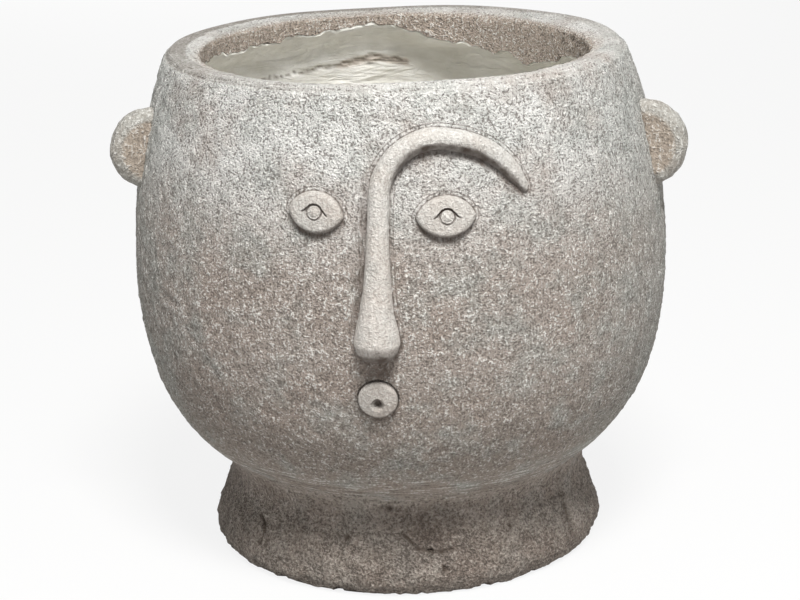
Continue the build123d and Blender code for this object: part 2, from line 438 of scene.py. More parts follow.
@dataclass(frozen=True)
class Cement:
    """Grey cement worked by hand and dry-brushed with a paler wash when set.

    The wash catches the raised grains and leaves the pits dark, which gives the speckle. The
    grains are drawn a little over 1 mm wide, as coarse as they need to be to show. A piece's own
    layers say where it differs: "stain" (staining, and painted shade under and round the relief
    and at the back of the lip), "cold" (a cooler grey, and painted shade at the back of the lip),
    "raw" (no wash, and painted shade at the back of the lip), "near" (how near the relief is),
    "brushed" (round the pot), "calm" (brushed upwards) and "raised" (the modelled stipple, with a
    painted highlight along the lip's outer edge and painted light on the foot's sides).

    Attributes:
        name: What the finish is.
        low: Its colour near the foot.
        middle: Its colour half way up.
        high: Its colour near the rim, where more of the wash is left, with painted light from above.
        warm: The browner clouds.
        cool: The greyer clouds, the cooler sides, and painted shade at the back of the lip.
        pit: The colour down in the pits.
        wash: The pale wash on the raised grains.
        raw: The colour where no wash was brushed on, also painted as shade at the back of the lip.
        stain: The colour where slip or grime has stayed, and of the painted shade under and round
            the relief and at the back of the lip.
        grain: The width of a grain.
        crumb: The spacing of the crumbs.
        speckle: How strongly wash and pits show, from 0 to 1.
        bite: Where the pits end and begin to fade, and where the wash begins and is full.
        brush: How strongly brush marks show against grains, from 0 to 1.
        relief: How far the finest grains stand out.
        spans: The heights between which low turns to middle, and middle to high.
        rough: The roughness.
        faint: The share of the wash that is left near the foot.
        thinned: The heights between which the wash grows from that share to all of it.
        line: The thin line that a tool left round the relief: how near, and its half widths.
        joint: How near the relief the dark of the joint begins and is full.
    """

    name: str
    low: str
    middle: str
    high: str
    warm: str = "93857b"
    cool: str = "959893"
    pit: str = "59524c"
    wash: str = "e2e0dc"
    raw: str = "93897e"
    stain: str = "84776c"
    grain: float = 1.05 * MM
    crumb: float = 5.0 * MM
    speckle: float = 0.62
    bite: tuple[float, float, float, float] = (0.2, 0.46, 0.46, 0.76)
    brush: float = 0.3
    relief: float = 0.7 * MM
    spans: tuple[Point, Point] = ((0.07, 0.15), (0.175, 0.245))
    rough: float = 0.92
    faint: float = 1.0
    thinned: Point = (0.06, 0.15)
    line: tuple[float, float, float] = (0.76, 0.02, 0.055)
    joint: Point = (0.89, 0.965)

    def material(self) -> bpy.types.Material:
        """Builds the node material, named for the finish.

        Returns:
            The material.
        """
        made = bpy.data.materials.new(self.name)
        graph = Graph.fresh(made)
        where = graph.add("TexCoord", {}, "Object")
        raised = self.grains(graph, where)
        coats = self.tones(graph, where) + self.washes(graph, where, raised)
        graph.surface(self.low, coats, raised, relief=self.relief, rough=self.rough, ior=1.45)
        return made

    def tones(self, graph: Graph, where: Socket) -> list[Coat]:
        """The coats under the grains: paler towards the rim, partly as the finish and partly as painted
        light from above, with warm and cool clouds.

        Args:
            graph: The material's graph.
            where: The object coordinates.

        Returns:
            The coats, from the lowest up.
        """
        height = graph.add("SeparateXYZ", {0: where}, "Z")
        coats = []
        for (start, end), code in zip(self.spans, (self.middle, self.high)):
            feeds = {0: height, 1: start, 2: end}
            coats.append((graph.add("MapRange", feeds, interpolation_type="SMOOTHSTEP"), code))
        for shift, width, code in ((0.0, 34 * MM, self.warm), (3.7, 21 * MM, self.cool)):
            moved = graph.add("VectorMath", {0: where, 1: (shift, shift, shift)}, operation="ADD")
            feeds = {"Vector": moved, "Scale": 1 / width, "Detail": 4.0, "Roughness": 0.6}
            feeds = {0: graph.add("TexNoise", feeds), 1: 0.47, 2: 0.66, 3: 0.0, 4: 0.55}
            coats.append((graph.add("MapRange", feeds), code))
        for name, code in (("cold", self.cool), ("raw", self.raw)):
            coats.append((graph.add("Attribute", {}, "Fac", attribute_name=name), code))
        return coats

    def washes(self, graph: Graph, where: Socket, raised: Socket) -> list[Coat]:
        """The dark of the pits, the wash on top of the grains, and slip, grime and painted shade over
        both.

        Args:
            graph: The material's graph.
            where: The object coordinates.
            raised: How far each place is raised.

        Returns:
            The coats, from the lowest up.
        """
        deep, shallow, start, full = self.bite
        pits = graph.add("MapRange", {0: raised, 1: deep, 2: shallow, 3: self.speckle, 4: 0.0})
        tops = graph.add("MapRange", {0: raised, 1: start, 2: full, 3: 0.0, 4: self.speckle})
        low, high = self.thinned
        height = graph.add("SeparateXYZ", {0: where}, "Z")
        left = graph.add("MapRange", {0: height, 1: low, 2: high, 3: self.faint, 4: 1.0})
        wash = graph.add("Math", {0: tops, 1: left}, operation="MULTIPLY")
        return [(pits, self.pit), (wash, self.wash), (self.dirt_and_shade(graph, where), self.stain)]

    def dirt_and_shade(self, graph: Graph, where: Socket) -> Socket:
        """How much of the darker colour each place takes: patches of staining and painted shade, the
        tool's line and the dark of the joint.

        Args:
            graph: The material's graph.
            where: The object coordinates.

        Returns:
            The share of the stain's colour, from 0 to 1.
        """
        patches = graph.add("TexNoise", {"Vector": where, "Scale": 1 / (9 * MM), "Detail": 4.0})
        patches = graph.add("MapRange", {0: patches, 1: 0.3, 2: 0.6, 3: 0.55, 4: 1.0})
        dirt_and_shade = graph.add("Attribute", {}, "Fac", attribute_name="stain")
        dirt_and_shade = graph.add("Math", {0: dirt_and_shade, 1: patches}, operation="MULTIPLY", use_clamp=True)
        near = graph.add("Attribute", {}, "Fac", attribute_name="near")
        middle, narrow, wide = self.line
        line = graph.add("Math", {0: near, 1: middle}, operation="SUBTRACT")
        line = graph.add("Math", {0: line}, operation="ABSOLUTE")
        line = graph.add("MapRange", {0: line, 1: narrow, 2: wide, 3: 0.5, 4: 0.0})
        start, full = self.joint
        joint = graph.add("MapRange", {0: near, 1: start, 2: full, 3: 0.0, 4: 0.75})
        for mark in (line, joint):
            dirt_and_shade = graph.add("Math", {0: dirt_and_shade, 1: mark}, operation="MAXIMUM")
        return dirt_and_shade

    def round_about(self, graph: Graph, where: Socket) -> Socket:
        """Coordinates in which marks run round the pot: radius, a tenth of the way round, height.

        Args:
            graph: The material's graph.
            where: The object coordinates.

        Returns:
            The coordinates.
        """
        parts = graph.add("SeparateXYZ", {0: where}).node.outputs
        flat = graph.add("VectorMath", {0: where, 1: (1.0, 1.0, 0.0)}, operation="MULTIPLY")
        radius = graph.add("VectorMath", {0: flat}, "Value", operation="LENGTH")
        turn = graph.add("Math", {0: parts[0], 1: parts[1]}, operation="ARCTAN2")
        run = graph.add("Math", {0: turn, 1: 11 * MM}, operation="MULTIPLY")
        return graph.add("CombineXYZ", {0: radius, 1: run, 2: parts[2]})

    def grains(self, graph: Graph, where: Socket) -> Socket:
        """The stipple: fine grains, curled ridges, crumbs and brush marks.

        Args:
            graph: The material's graph.
            where: The object coordinates.

        Returns:
            How far each place is raised, from 0 in a pit to 1 on a crumb.
        """
        feeds = {"Vector": where, "Scale": 1 / self.grain, "Detail": 2.0, "Roughness": 0.6}
        fine = graph.add("MapRange", {0: graph.add("TexNoise", feeds), 1: 0.34, 2: 0.66})
        feeds = {"Vector": where, "Scale": 0.45 / self.grain, "Detail": 1.0, "Distortion": 0.5}
        worm = graph.ridges(graph.add("TexNoise", feeds), 0.06)
        coarse = graph.add("Attribute", {}, "Fac", attribute_name="raised")
        stipple: object = 0.0
        for layer, share in ((fine, 0.5), (worm, 0.24), (coarse, 0.26)):
            stipple = graph.add("Math", {0: layer, 1: share, 2: stipple}, operation="MULTIPLY_ADD")
        upright = graph.add("VectorMath", {0: where, 1: (1.0, 1.0, 0.2)}, operation="MULTIPLY")
        strokes = []
        for along in (upright, self.round_about(graph, where)):
            feeds = {"Vector": along, "Scale": 0.8 / self.grain, "Detail": 2.0, "Roughness": 0.6}
            strokes.append(graph.add("MapRange", {0: graph.add("TexNoise", feeds), 1: 0.33, 2: 0.67}))
        smooth = graph.add("Attribute", {}, "Fac", attribute_name="brushed")
        marks = graph.add("Mix", {0: smooth, 2: strokes[0], 3: strokes[1]})
        calm = graph.add("Attribute", {}, "Fac", attribute_name="calm")
        calm = graph.add("Math", {0: smooth, 1: calm}, operation="MAXIMUM")
        share = graph.add("MapRange", {0: calm, 3: self.brush, 4: 0.75})
        both = graph.add("Mix", {0: share, 2: stipple, 3: marks})
        feeds = {"Vector": where, "Scale": 1 / self.crumb, "Randomness": 1.0}
        cells = graph.add("TexVoronoi", feeds, "Color")
        chance = graph.add("SeparateColor", {0: cells})
        width = graph.add("MapRange", {0: chance, 1: 0.4, 2: 1.0, 3: 0.0, 4: 0.2})
        reach = graph.add("Math", {0: width, 1: cells.node.outputs["Distance"]}, operation="SUBTRACT")
        crumbs = graph.add("MapRange", {0: reach, 1: 0.0, 2: 0.06})
        crumbs = graph.add("Mix", {0: smooth, 2: crumbs, 3: 0.0})
        return graph.add("Math", {0: crumbs, 1: 0.5, 2: both}, operation="MULTIPLY_ADD")


@dataclass(frozen=True)
class Rubber:
    """Black rubber, moulded: a dull sheen and a fine dusty bloom.

    Attributes:
        colour: Its colour.
        dust: The colour of the bloom.
    """

    colour: str = "2b2a29"
    dust: str = "5a5853"

    def material(self) -> bpy.types.Material:
        """Builds the node material.

        Returns:
            The material.
        """
        made = bpy.data.materials.new("moulded rubber")
        graph = Graph.fresh(made)
        where = graph.add("TexCoord", {}, "Object")
        bloom = graph.add("TexNoise", {"Vector": where, "Scale": 1 / (4 * MM), "Detail": 5.0})
        share = graph.add("MapRange", {0: bloom, 1: 0.45, 2: 0.75, 3: 0.0, 4: 0.5})
        rough = graph.add("MapRange", {0: bloom, 3: 0.5, 4: 0.75})
        graph.surface(self.colour, [(share, self.dust)], bloom, relief=0.1 * MM, rough=rough, ior=1.52)
        return made


@dataclass(frozen=True)
class SealCoat:
    """Cement paint trowelled on thinly inside: pale and dull, with strokes and creases.

    Attributes:
        colour: The coat.
        shade: The coat where it is thin and darker cement shows through.
        crease: The colour down in a crease.
        fold: The pinkish cement where the coat has folded open.
        deep: The coat lower down, where earth and water have dulled it.
        dulled: The heights between which the coat turns to that.
        slant: The slant of the trowel's strokes, in degrees.
    """

    colour: str = "fbfaf6"
    shade: str = "e6e4dc"
    crease: str = "8f867a"
    fold: str = "d6c9be"
    deep: str = "cac7be"
    dulled: Point = (0.205, 0.12)
    slant: float = -24.0

    def material(self) -> bpy.types.Material:
        """Builds the node material.

        Returns:
            The material.
        """
        made = bpy.data.materials.new("trowelled seal coat")
        graph = Graph.fresh(made)
        where = graph.add("TexCoord", {}, "Object")
        slant = (0.0, math.radians(self.slant), 0.0)
        along = graph.add("Mapping", {"Vector": where, "Rotation": slant, "Scale": (0.3, 0.3, 1.0)})
        feeds = {"Vector": along, "Scale": 1 / (6 * MM), "Detail": 5.0, "Roughness": 0.6}
        strokes = graph.add("TexNoise", feeds)
        clouds = graph.add("TexNoise", {"Vector": where, "Scale": 1 / (24 * MM), "Detail": 3.0})
        both = graph.add("Mix", {0: 0.5, 2: strokes, 3: clouds})
        thin = graph.add("MapRange", {0: both, 1: 0.4, 2: 0.6, 3: 0.85, 4: 0.0})
        start, full = self.dulled
        height = graph.add("SeparateXYZ", {0: where}, "Z")
        low = graph.add("MapRange", {0: height, 1: start, 2: full, 3: 0.0, 4: 0.9})
        coats = [(thin, self.shade), (low, self.deep)]
        for name, code in (("fold", self.fold), ("crease", self.crease)):
            coats.append((graph.add("Attribute", {}, "Fac", attribute_name=name), code))
        feeds = {"Vector": along, "Scale": 1 / (11 * MM), "Detail": 2.0, "Distortion": 0.8}
        ridges = graph.ridges(graph.add("TexNoise", feeds), 0.05)
        raised = graph.add("Math", {0: ridges, 1: 0.16, 2: strokes}, operation="MULTIPLY_ADD")
        graph.surface(self.colour, coats, raised, relief=2.6 * MM, rough=0.8, ior=1.45)
        return made


# What ears, foot and cove share: where their pits and their wash begin and end.
COARSE = (0.3, 0.4, 0.54, 0.68)
BODY = Cement(
    "stippled cement", low="877d74", middle="9c928a", high="c8c7c4", raw="a79b8f", stain="564a42",
    grain=1.12 * MM, speckle=0.74, bite=(0.26, 0.37, 0.55, 0.67), brush=0.16, relief=1.8 * MM,
    spans=((0.07, 0.15), (0.168, 0.24)), faint=0.6,
)
RELIEF = Cement(
    "smoothed cement", low="7f766f", middle="bab4ae", high="b6b4b0", warm="aba29a", cool="b1b0ac",
    pit="7a726a", stain="4b4039", grain=1.2 * MM, speckle=0.36, bite=(0.26, 0.4, 0.52, 0.68),
    brush=0.2, relief=0.9 * MM,
)
EAR = Cement(
    "sponged cement", low="989690", middle="989690", high="989690", warm="918a82", cool="9a9994",
    raw="94897d", pit="6b635b", stain="6e6157", grain=1.3 * MM, speckle=0.4, bite=COARSE,
    brush=0.35, relief=1.1 * MM,
)
FOOT = Cement(
    "brown cement", low="7e746b", middle="857b72", high="8b8076", warm="70625a", cool="86817a",
    pit="463e38", wash="aca49b", stain="43382f", grain=1.25 * MM, speckle=0.7, bite=COARSE,
    brush=0.08, relief=2.0 * MM, spans=((0.0, 0.03), (0.03, 0.05)),
)
COVE = Cement(
    "brushed mortar", low="8c8178", middle="90867d", high="9a9289", warm="7b6e64", cool="918d86",
    pit="4d453f", wash="b1a9a1", stain="453931", grain=1.25 * MM, speckle=0.72, bite=COARSE,
    brush=0.15, relief=2.0 * MM, spans=((0.044, 0.05), (0.05, 0.056)),
)


# The bowl and what lines it


@dataclass(frozen=True)
class Wall:
    """The bowl's wall: three tangent arcs, the same as in the CAD.

    Attributes:
        height: The rim's height.
        belly_radius: The greatest radius.
        belly_height: The height of the greatest radius.
        rim_inset: How far the rim stands in from the belly.
        flank_radius: The radius of the arc below the belly.
        flank_height: The height that the flank arc ends at.
        thickness: The wall's thickness.
        floor: The floor's height.
    """

    height: float = 267.4 * MM
    belly_radius: float = 140.0 * MM
    belly_height: float = 152.0 * MM
    rim_inset: float = 22.0 * MM
    flank_radius: float = 190.0 * MM
    flank_height: float = 100.0 * MM
    thickness: float = 10.0 * MM
    floor: float = 47.0 * MM

    @property
    def shoulder(self) -> tuple[float, float, float]:
        """The shoulder arc's centre and radius.

        Returns:
            The centre's distance from the axis and its height, and the arc's radius.
        """
        rise = self.height - self.belly_height
        radius = (rise**2 + self.rim_inset**2) / (2 * self.rim_inset)
        return self.belly_radius - radius, self.belly_height, radius

    @property
    def flank(self) -> tuple[float, float, float]:
        """The flank arc's centre and radius."""
        return self.belly_radius - self.flank_radius, self.belly_height, self.flank_radius

    @property
    def flank_angle(self) -> float:
        """The angle that the flank arc sweeps, in radians."""
        return math.asin((self.belly_height - self.flank_height) / self.flank_radius)

    @property
    def haunch(self) -> tuple[float, float, float]:
        """The haunch arc's centre and radius.

        Returns:
            The centre's distance from the axis and its height, and the arc's radius.
        """
        sine, cosine = math.sin(self.flank_angle), math.cos(self.flank_angle)
        start = self.belly_height - (self.flank_radius - self.thickness) * sine
        radius = (start - self.floor) / (1 - sine) + self.thickness
        reach = self.flank_radius - radius
        x, z, _ = self.flank
        return x + reach * cosine, z - reach * sine, radius

    def arc_at(self, height: float, offset: float = 0.0) -> tuple[float, float, float]:
        """The arc that holds a height, moved out by an offset.

        Args:
            height: The height.
            offset: How far the wall is moved out.

        Returns:
            The centre's distance from the axis and its height, and the arc's radius.
        """
        break_height = self.belly_height - (self.flank_radius + offset) * math.sin(self.flank_angle)
        if height >= self.belly_height:
            x, z, radius = self.shoulder
        elif height >= break_height:
            x, z, radius = self.flank
        else:
            x, z, radius = self.haunch
        return x, z, radius + offset

    def radius_at(self, height: float, offset: float = 0.0) -> float:
        """The distance from the axis at a height, on the wall moved out by an offset."""
        x, z, radius = self.arc_at(height, offset)
        return x + math.sqrt(max(radius**2 - (height - z) ** 2, 0.0))

    def radii_at(self, heights: Iterable[float], offset: float = 0.0) -> np.ndarray:
        """The distances from the axis at many heights."""
        return np.array([self.radius_at(z, offset) for z in heights])

    def lean_at(self, height: float) -> float:
        """The angle in radians by which the wall looks up at a height."""
        _, z, radius = self.arc_at(height)
        return math.asin(max(-1.0, min(1.0, (height - z) / radius)))

    def line(self, low: float, high: float, step: float, offset: float = 0.0) -> Outline:
        """Points up the wall, evenly spaced along it.

        Args:
            low: The lowest height.
            high: The highest height.
            step: The spacing aimed at.
            offset: How far the wall is moved out.

        Returns:
            The points, both ends among them.
        """
        fine = np.linspace(low, high, 400)
        radii = self.radii_at(fine, offset)
        along = np.concatenate([[0], np.cumsum(np.hypot(np.diff(radii), np.diff(fine)))])
        even = np.linspace(0, along[-1], max(2, round(along[-1] / step) + 1))
        return [(self.radius_at(z, offset), float(z)) for z in np.interp(even, along, fine)]

    def frame(self, turn: float, height: float, tilt: float = 0.0) -> Matrix:
        """A frame that lies on the wall: x across the face, y up it and z out of it.

        Args:
            turn: Degrees from the face.
            height: The height.
            tilt: Degrees by which the frame is turned about its own z axis.

        Returns:
            The frame as a matrix.
        """
        around, lean, radius = math.radians(turn), self.lean_at(height), self.radius_at(height)
        across = Vector((math.cos(around), math.sin(around), 0))
        out = Vector((math.cos(lean) * math.sin(around), -math.cos(lean) * math.cos(around), math.sin(lean)))
        origin = Vector((radius * math.sin(around), -radius * math.cos(around), height))
        base = Matrix((across, out.cross(across), out)).transposed().to_4x4()
        return Matrix.Translation(origin) @ base @ Matrix.Rotation(math.radians(tilt), 4, "Z")

    def laid(self, runs: np.ndarray, heights: np.ndarray, outs: np.ndarray) -> np.ndarray:
        """Lays points on the wall.

        Args:
            runs: How far each stands to the head's left, along the wall.
            heights: How high each stands.
            outs: How far each stands out from the wall.

        Returns:
            Their places.
        """
        radii = self.radii_at(heights)
        leans = np.array([self.lean_at(z) for z in heights])
        around, reach = runs / radii, radii + outs * np.cos(leans)
        rises = outs * np.sin(leans)
        return np.column_stack([reach * np.sin(around), -reach * np.cos(around), heights + rises])


@dataclass(frozen=True)
class Crook:
    """The line of nose and brow, drawn on the unrolled wall.

    Attributes:
        eye_line: The height of the line through both eyes.
        length: The nose's length.
        lean: How far the nose's tip stands to the head's right of the bridge.
        bridge_rise: How far the bridge ends above the eye line.
        bridge_offset: How far the bridge stands to the head's left.
        bends: Radius and degrees of the bend and of the brow.
        width: The strip's width.
        proud: How far it stands out.
        shares: Along the strip: the share of its length, of its width and of its standing out.
    """

    eye_line: float = 209.1 * MM
    length: float = 79.0 * MM
    lean: float = 2.6 * MM
    bridge_rise: float = 8.0 * MM
    bridge_offset: float = 1.6 * MM
    bends: tuple[Point, Point] = ((26.4 * MM, 91.0), (53.0 * MM, 59.0))
    width: float = 10.4 * MM
    proud: float = 7.0 * MM
    shares: tuple[tuple[float, float, float], ...] = (
        (0.0, 0.20, 0.12), (0.004, 0.78, 0.52), (0.010, 1.20, 0.88), (0.018, 1.55, 1.18),
        (0.030, 1.86, 1.44), (0.060, 2.16, 1.68), (0.095, 1.98, 1.62), (0.145, 1.55, 1.42),
        (0.215, 1.28, 1.22), (0.310, 1.06, 1.06), (0.430, 0.98, 0.98), (0.520, 1.00, 0.96),
        (0.600, 1.03, 0.95), (0.680, 1.00, 0.92), (0.770, 0.96, 0.88), (0.860, 0.90, 0.80),
        (0.930, 0.76, 0.66), (0.975, 0.52, 0.44), (0.993, 0.32, 0.28), (1.0, 0.10, 0.10),
    )

    def line(self, count: int) -> np.ndarray:
        """The line as rows of run, height, and the direction's two parts.

        Args:
            count: How many rows, evenly spaced along the line.

        Returns:
            The rows.
        """
        height = self.eye_line + self.bridge_rise
        start = np.array([self.bridge_offset - self.lean, height - self.length])
        end = np.array([self.bridge_offset, height])
        heading = math.atan2(*(end - start)[::-1])
        reach = float(np.hypot(*(end - start)))
        spans = [reach] + [radius * math.radians(sweep) for radius, sweep in self.bends]
        rows = []
        for along in np.linspace(0, sum(spans), count):
            angle, step = heading, min(along, reach)
            spot, left = start + step * np.array([math.cos(angle), math.sin(angle)]), along - step
            for (radius, _), span in zip(self.bends, spans[1:]):
                step = min(left, span)
                centre = spot + radius * np.array([math.sin(angle), -math.cos(angle)])
                angle -= step / radius
                spot, left = centre + radius * np.array([-math.sin(angle), math.cos(angle)]), left - step
            rows.append([*spot, math.cos(angle), math.sin(angle)])
        return np.array(rows)

    def share_at(self, shares: np.ndarray, column: int) -> np.ndarray:
        """The table's width (1) or standing out (2) at shares of the length, smoothly.

        The table is softened along the strip, but less and less towards its two ends.

        Args:
            shares: Where along the strip, from 0 to 1.
            column: The table's column.

        Returns:
            The shares of the strip's width or of its standing out.
        """
        table = np.array(self.shares)
        fine = np.linspace(0, 1, 2001)
        values = np.interp(fine, table[:, 0], table[:, column])
        reach = 13
        kernel = np.hanning(2 * reach + 1)
        soft = np.convolve(np.pad(values, reach, mode="edge"), kernel / kernel.sum(), mode="valid")
        blend = ease(np.minimum(fine, 1 - fine), 0.004, 0.02)
        return np.interp(shares, fine, values * (1 - blend) + soft * blend)

    def margin(self, runs: np.ndarray, heights: np.ndarray) -> tuple[np.ndarray, np.ndarray, np.ndarray]:
        """How far points on the unrolled wall are from the strip's edge.

        Args:
            runs: The points' runs.
            heights: Their heights.

        Returns:
            The distance outside the edge, the share of the length of the nearest point of the
            line, and the side, which is -1 on the head's right of the nose and above the brow.
        """
        line = self.line(160)
        best = np.full(len(runs), 1.0)
        nearest = np.zeros(len(runs), int)
        for index, (run, height, _, _) in enumerate(line):
            away = np.hypot(runs - run, heights - height)
            closer = away < best
            best[closer], nearest[closer] = away[closer], index
        share, chosen = nearest / (len(line) - 1), line[nearest]
        side = np.sign((runs - chosen[:, 0]) * chosen[:, 3] - (heights - chosen[:, 1]) * chosen[:, 2])
        return best - self.width * self.share_at(share, 1) / 2, share, side


# Where the ragged edge of the lip's inner band hangs: turn in degrees, height in millimetres.
BAND_EDGE = (
    (-175, 259), (-165, 260), (-155, 257.5), (-147, 256), (-141, 258), (-135, 254.5), (-127, 256),
    (-117, 254), (-100, 257), (-70, 254), (-30, 256), (0, 254), (30, 256), (60, 252.5), (90, 254),
    (112, 251), (119, 247), (129, 243), (137, 241), (143, 246.5), (150, 245), (158, 247.5), (173, 251.5),
)
# The lip's inner edge: turn in degrees, radius in millimetres.
INNER_EDGE = (
    (-165, 97.5), (-120, 98), (-90, 100), (-60, 102.5), (-25, 107), (25, 107.5), (60, 105), (90, 100.5),
    (115, 95), (135, 93.5), (160, 96),
)
# The crease in the seal coat: turn in degrees, height in millimetres; and the fold that it opens into.
CREASE = ((-132, 231), (-147, 231.5), (-153, 233), (-160, 234), (-164, 237), (-170, 238.5), (-178, 234))
FOLD = ((-158, 233), (-165, 234.5), (-171, 235.5), (-178, 234))


def round_table(turns: np.ndarray, table: Sequence[Point]) -> np.ndarray:
    """Reads a table of turn in degrees and value in millimetres, round the pot."""
    rows = np.array(sorted(table))
    return np.interp(turns, rows[:, 0], rows[:, 1], period=360) * MM


def band_edge(turns: np.ndarray) -> np.ndarray:
    """The height at which the lip's inner band ends, with its small raggedness.

    Args:
        turns: The turns, in degrees.

    Returns:
        The height at each turn.
    """
    around = np.radians(turns)
    small = 0.45 * np.sin(23 * around) + 0.4 * np.sin(47 * around + 1) + 0.35 * np.sin(71 * around + 2)
    return round_table(turns, BAND_EDGE) + small * MM


def drawn(turns: np.ndarray, heights: np.ndarray, line: Sequence[Point], radius: float) -> np.ndarray:
    """The distance of points from a line drawn round the pot.

    Args:
        turns: The points' turns in degrees.
        heights: Their heights.
        line: The line's points: turn in degrees and height in millimetres.
        radius: The radius that the line lies on.

    Returns:
        The distances.
    """
    best = np.full(len(turns), 1.0)
    for (turn, height), (next_turn, next_height) in zip(line, line[1:]):
        for share in np.linspace(0, 1, 12):
            across = apart(turns, turn + share * (next_turn - turn)) * radius
            up = heights - (height + share * (next_height - height)) * MM
            best = np.minimum(best, np.hypot(across, up))
    return best


@dataclass(frozen=True)
class Bowl:
    """The bowl: a stippled wall under a flat lip that hangs over inside.

    Attributes:
        wall: The wall's arcs.
        crook: The line of nose and brow, round which the stipple is smoothed away.
        buttons: The eyes and the mouth, for the same reason.
        skirt: The height of the wall's lower edge.
        lip_depth: The depth of the lip's inner face.
        lip_slope: How far the lip's underside slopes down to the wall.
        opening: The lip's inner radius in the CAD.
        outer_round: The radius of the lip's outer edge.
        inner_round: The radius of the lip's inner edge.
        drain: The drain hole's radius.
        spigot: Radius and height of the lower edge of the spigot that stands in the foot.
        seat: Radius and height of the outer edge of the face that rests on the foot.
        step: The spacing of the rows of faces.
        crumb: Run, height and rise of the one big crumb, which sits over the head's left eye.
    """

    wall: Wall
    crook: Crook
    buttons: Sequence["Button"]
    skirt: float = 54.0 * MM
    lip_depth: float = 12.0 * MM
    lip_slope: float = 10.0 * MM
    opening: float = 99.0 * MM
    outer_round: float = 4.0 * MM
    inner_round: float = 3.0 * MM
    drain: float = 11.5 * MM
    spigot: Point = (79.9 * MM, 33.0 * MM)
    seat: Point = (85.9 * MM, 38.25 * MM)
    step: float = 1.8 * MM
    crumb: tuple[float, float, float] = (26.4 * MM, 178 * MM, 1.2 * MM)

    @property
    def bottom(self) -> float:
        """The height of the lower edge of the lip's inner face."""
        return self.wall.height - self.lip_depth

    @property
    def under(self) -> float:
        """The height at which the lip's underside meets the wall."""
        return self.bottom - self.lip_slope

    @property
    def inside(self) -> float:
        """The wall's inner radius there."""
        return self.wall.radius_at(self.under, -self.wall.thickness)

    def slope(self, shares: Iterable[float], short: float = 0.0) -> Outline:
        """Points down the lip's underside, at shares of a way that may stop short of the wall."""
        wide = self.inside - short - self.opening
        return [(self.opening + t * wide, self.bottom - t * self.lip_slope) for t in shares]

    def outline(self) -> Outline:
        """The section, from the skirt up the outside, over the lip and back down inside.

        Returns:
            The points.
        """
        wall, top = self.wall, self.wall.height
        high, edge = top - self.outer_round, self.opening + self.inner_round
        corner = wall.radius_at(top) - self.outer_round
        points = wall.line(self.skirt, high, self.step)
        points += arc(corner, high, self.outer_round, np.radians((12, 24, 36, 48, 60, 75, 90)))
        points += straight((corner, top), (edge, top), 9)
        face = (self.opening, top - self.inner_round)
        points += arc(edge, face[1], self.inner_round, np.radians((110, 130, 150, 165, 180)))
        points += straight(face, (self.opening, self.bottom), 9)
        points += self.slope((0.12, 0.35, 0.7))
        x, z, radius = wall.haunch
        low = z - (radius - wall.thickness)
        points += wall.line(low + 1 * MM, self.under, 18 * MM, -wall.thickness)[::-1]
        points += [(x, low), (self.drain, low), (self.drain, self.spigot[1])]
        points += [self.spigot, (self.spigot[0], self.seat[1]), self.seat, points[0]]
        return points

    def build(self) -> Piece:
        """Models and dresses the bowl.

        Returns:
            The finished piece.
        """
        piece = turned("cement_bowl", self.outline(), 220, 300)
        sculpt(piece, self.lip)
        rows = places(piece)
        turns, radii, heights = turn_of(rows), radii_of(rows), rows[:, 2]
        runs, above = np.radians(turns) * radii, heights + 2.4 * MM
        outer = radii > self.wall.radii_at(heights) - 1.2 * MM
        band = (radii < self.opening + 9 * MM) & (heights > 236 * MM) & ~outer
        parts = [outer, band, ~outer & (heights > 236 * MM)]
        # how far from the strip, from any relief, and from the painted shadow under any relief
        strip, share, side = self.crook.margin(runs, heights)
        margin, relief_shadow_margin = strip, self.crook.margin(runs, above)[0]
        for button in self.buttons:
            margin = np.minimum(margin, button.margin(runs, heights))
            relief_shadow_margin = np.minimum(relief_shadow_margin, button.margin(runs, above))
        strip, margin, relief_shadow_margin = (np.where(rows[:, 1] > 0, 1.0, away) for away in (strip, margin, relief_shadow_margin))
        coat = ease(margin, 0.3 * MM, 3.2 * MM) * (0.35 + 0.65 * ease(heights, 62 * MM, 84 * MM))
        coat *= 1 - 0.75 * ease(heights, 260 * MM, 265 * MM)
        hand = ease(margin, 0.0, 9 * MM)
        weigh(piece, "coat", np.select(parts, [coat, 0.9, 0.0]))
        weigh(piece, "hand", np.select(parts, [hand, hand, 0.0]))
        roughen(piece, "hand", Roughcast(46 * MM, 1.2 * MM), Roughcast(15 * MM, 0.5 * MM, 2))
        rise = roughen(piece, "coat", Roughcast(4.4 * MM, 1.3 * MM), Roughcast(3.0 * MM, 1.1 * MM))
        # a painted highlight: the wash is raised along the lip's outer edge, more so in front than
        # behind, to stand in for the light that catches that edge
        back = 0.5 - 0.5 * np.cos(np.radians(turns - 40))
        edge = ease(heights, 262 * MM, 264.5 * MM) * fade(heights, 266.5 * MM, 267.3 * MM)
        edge *= 1 - 0.9 * back
        raised = np.clip(0.5 + rise / (0.9 * MM), 0, 1) * (1 - edge) + 1.35 * edge
        crumb = fade(np.hypot(runs - self.crumb[0], heights - self.crumb[1]), 0.8 * MM, 2.4 * MM)
        crumb *= rows[:, 1] < 0
        sculpt(piece, lambda now: pushed(now, self.crumb[2] * crumb))
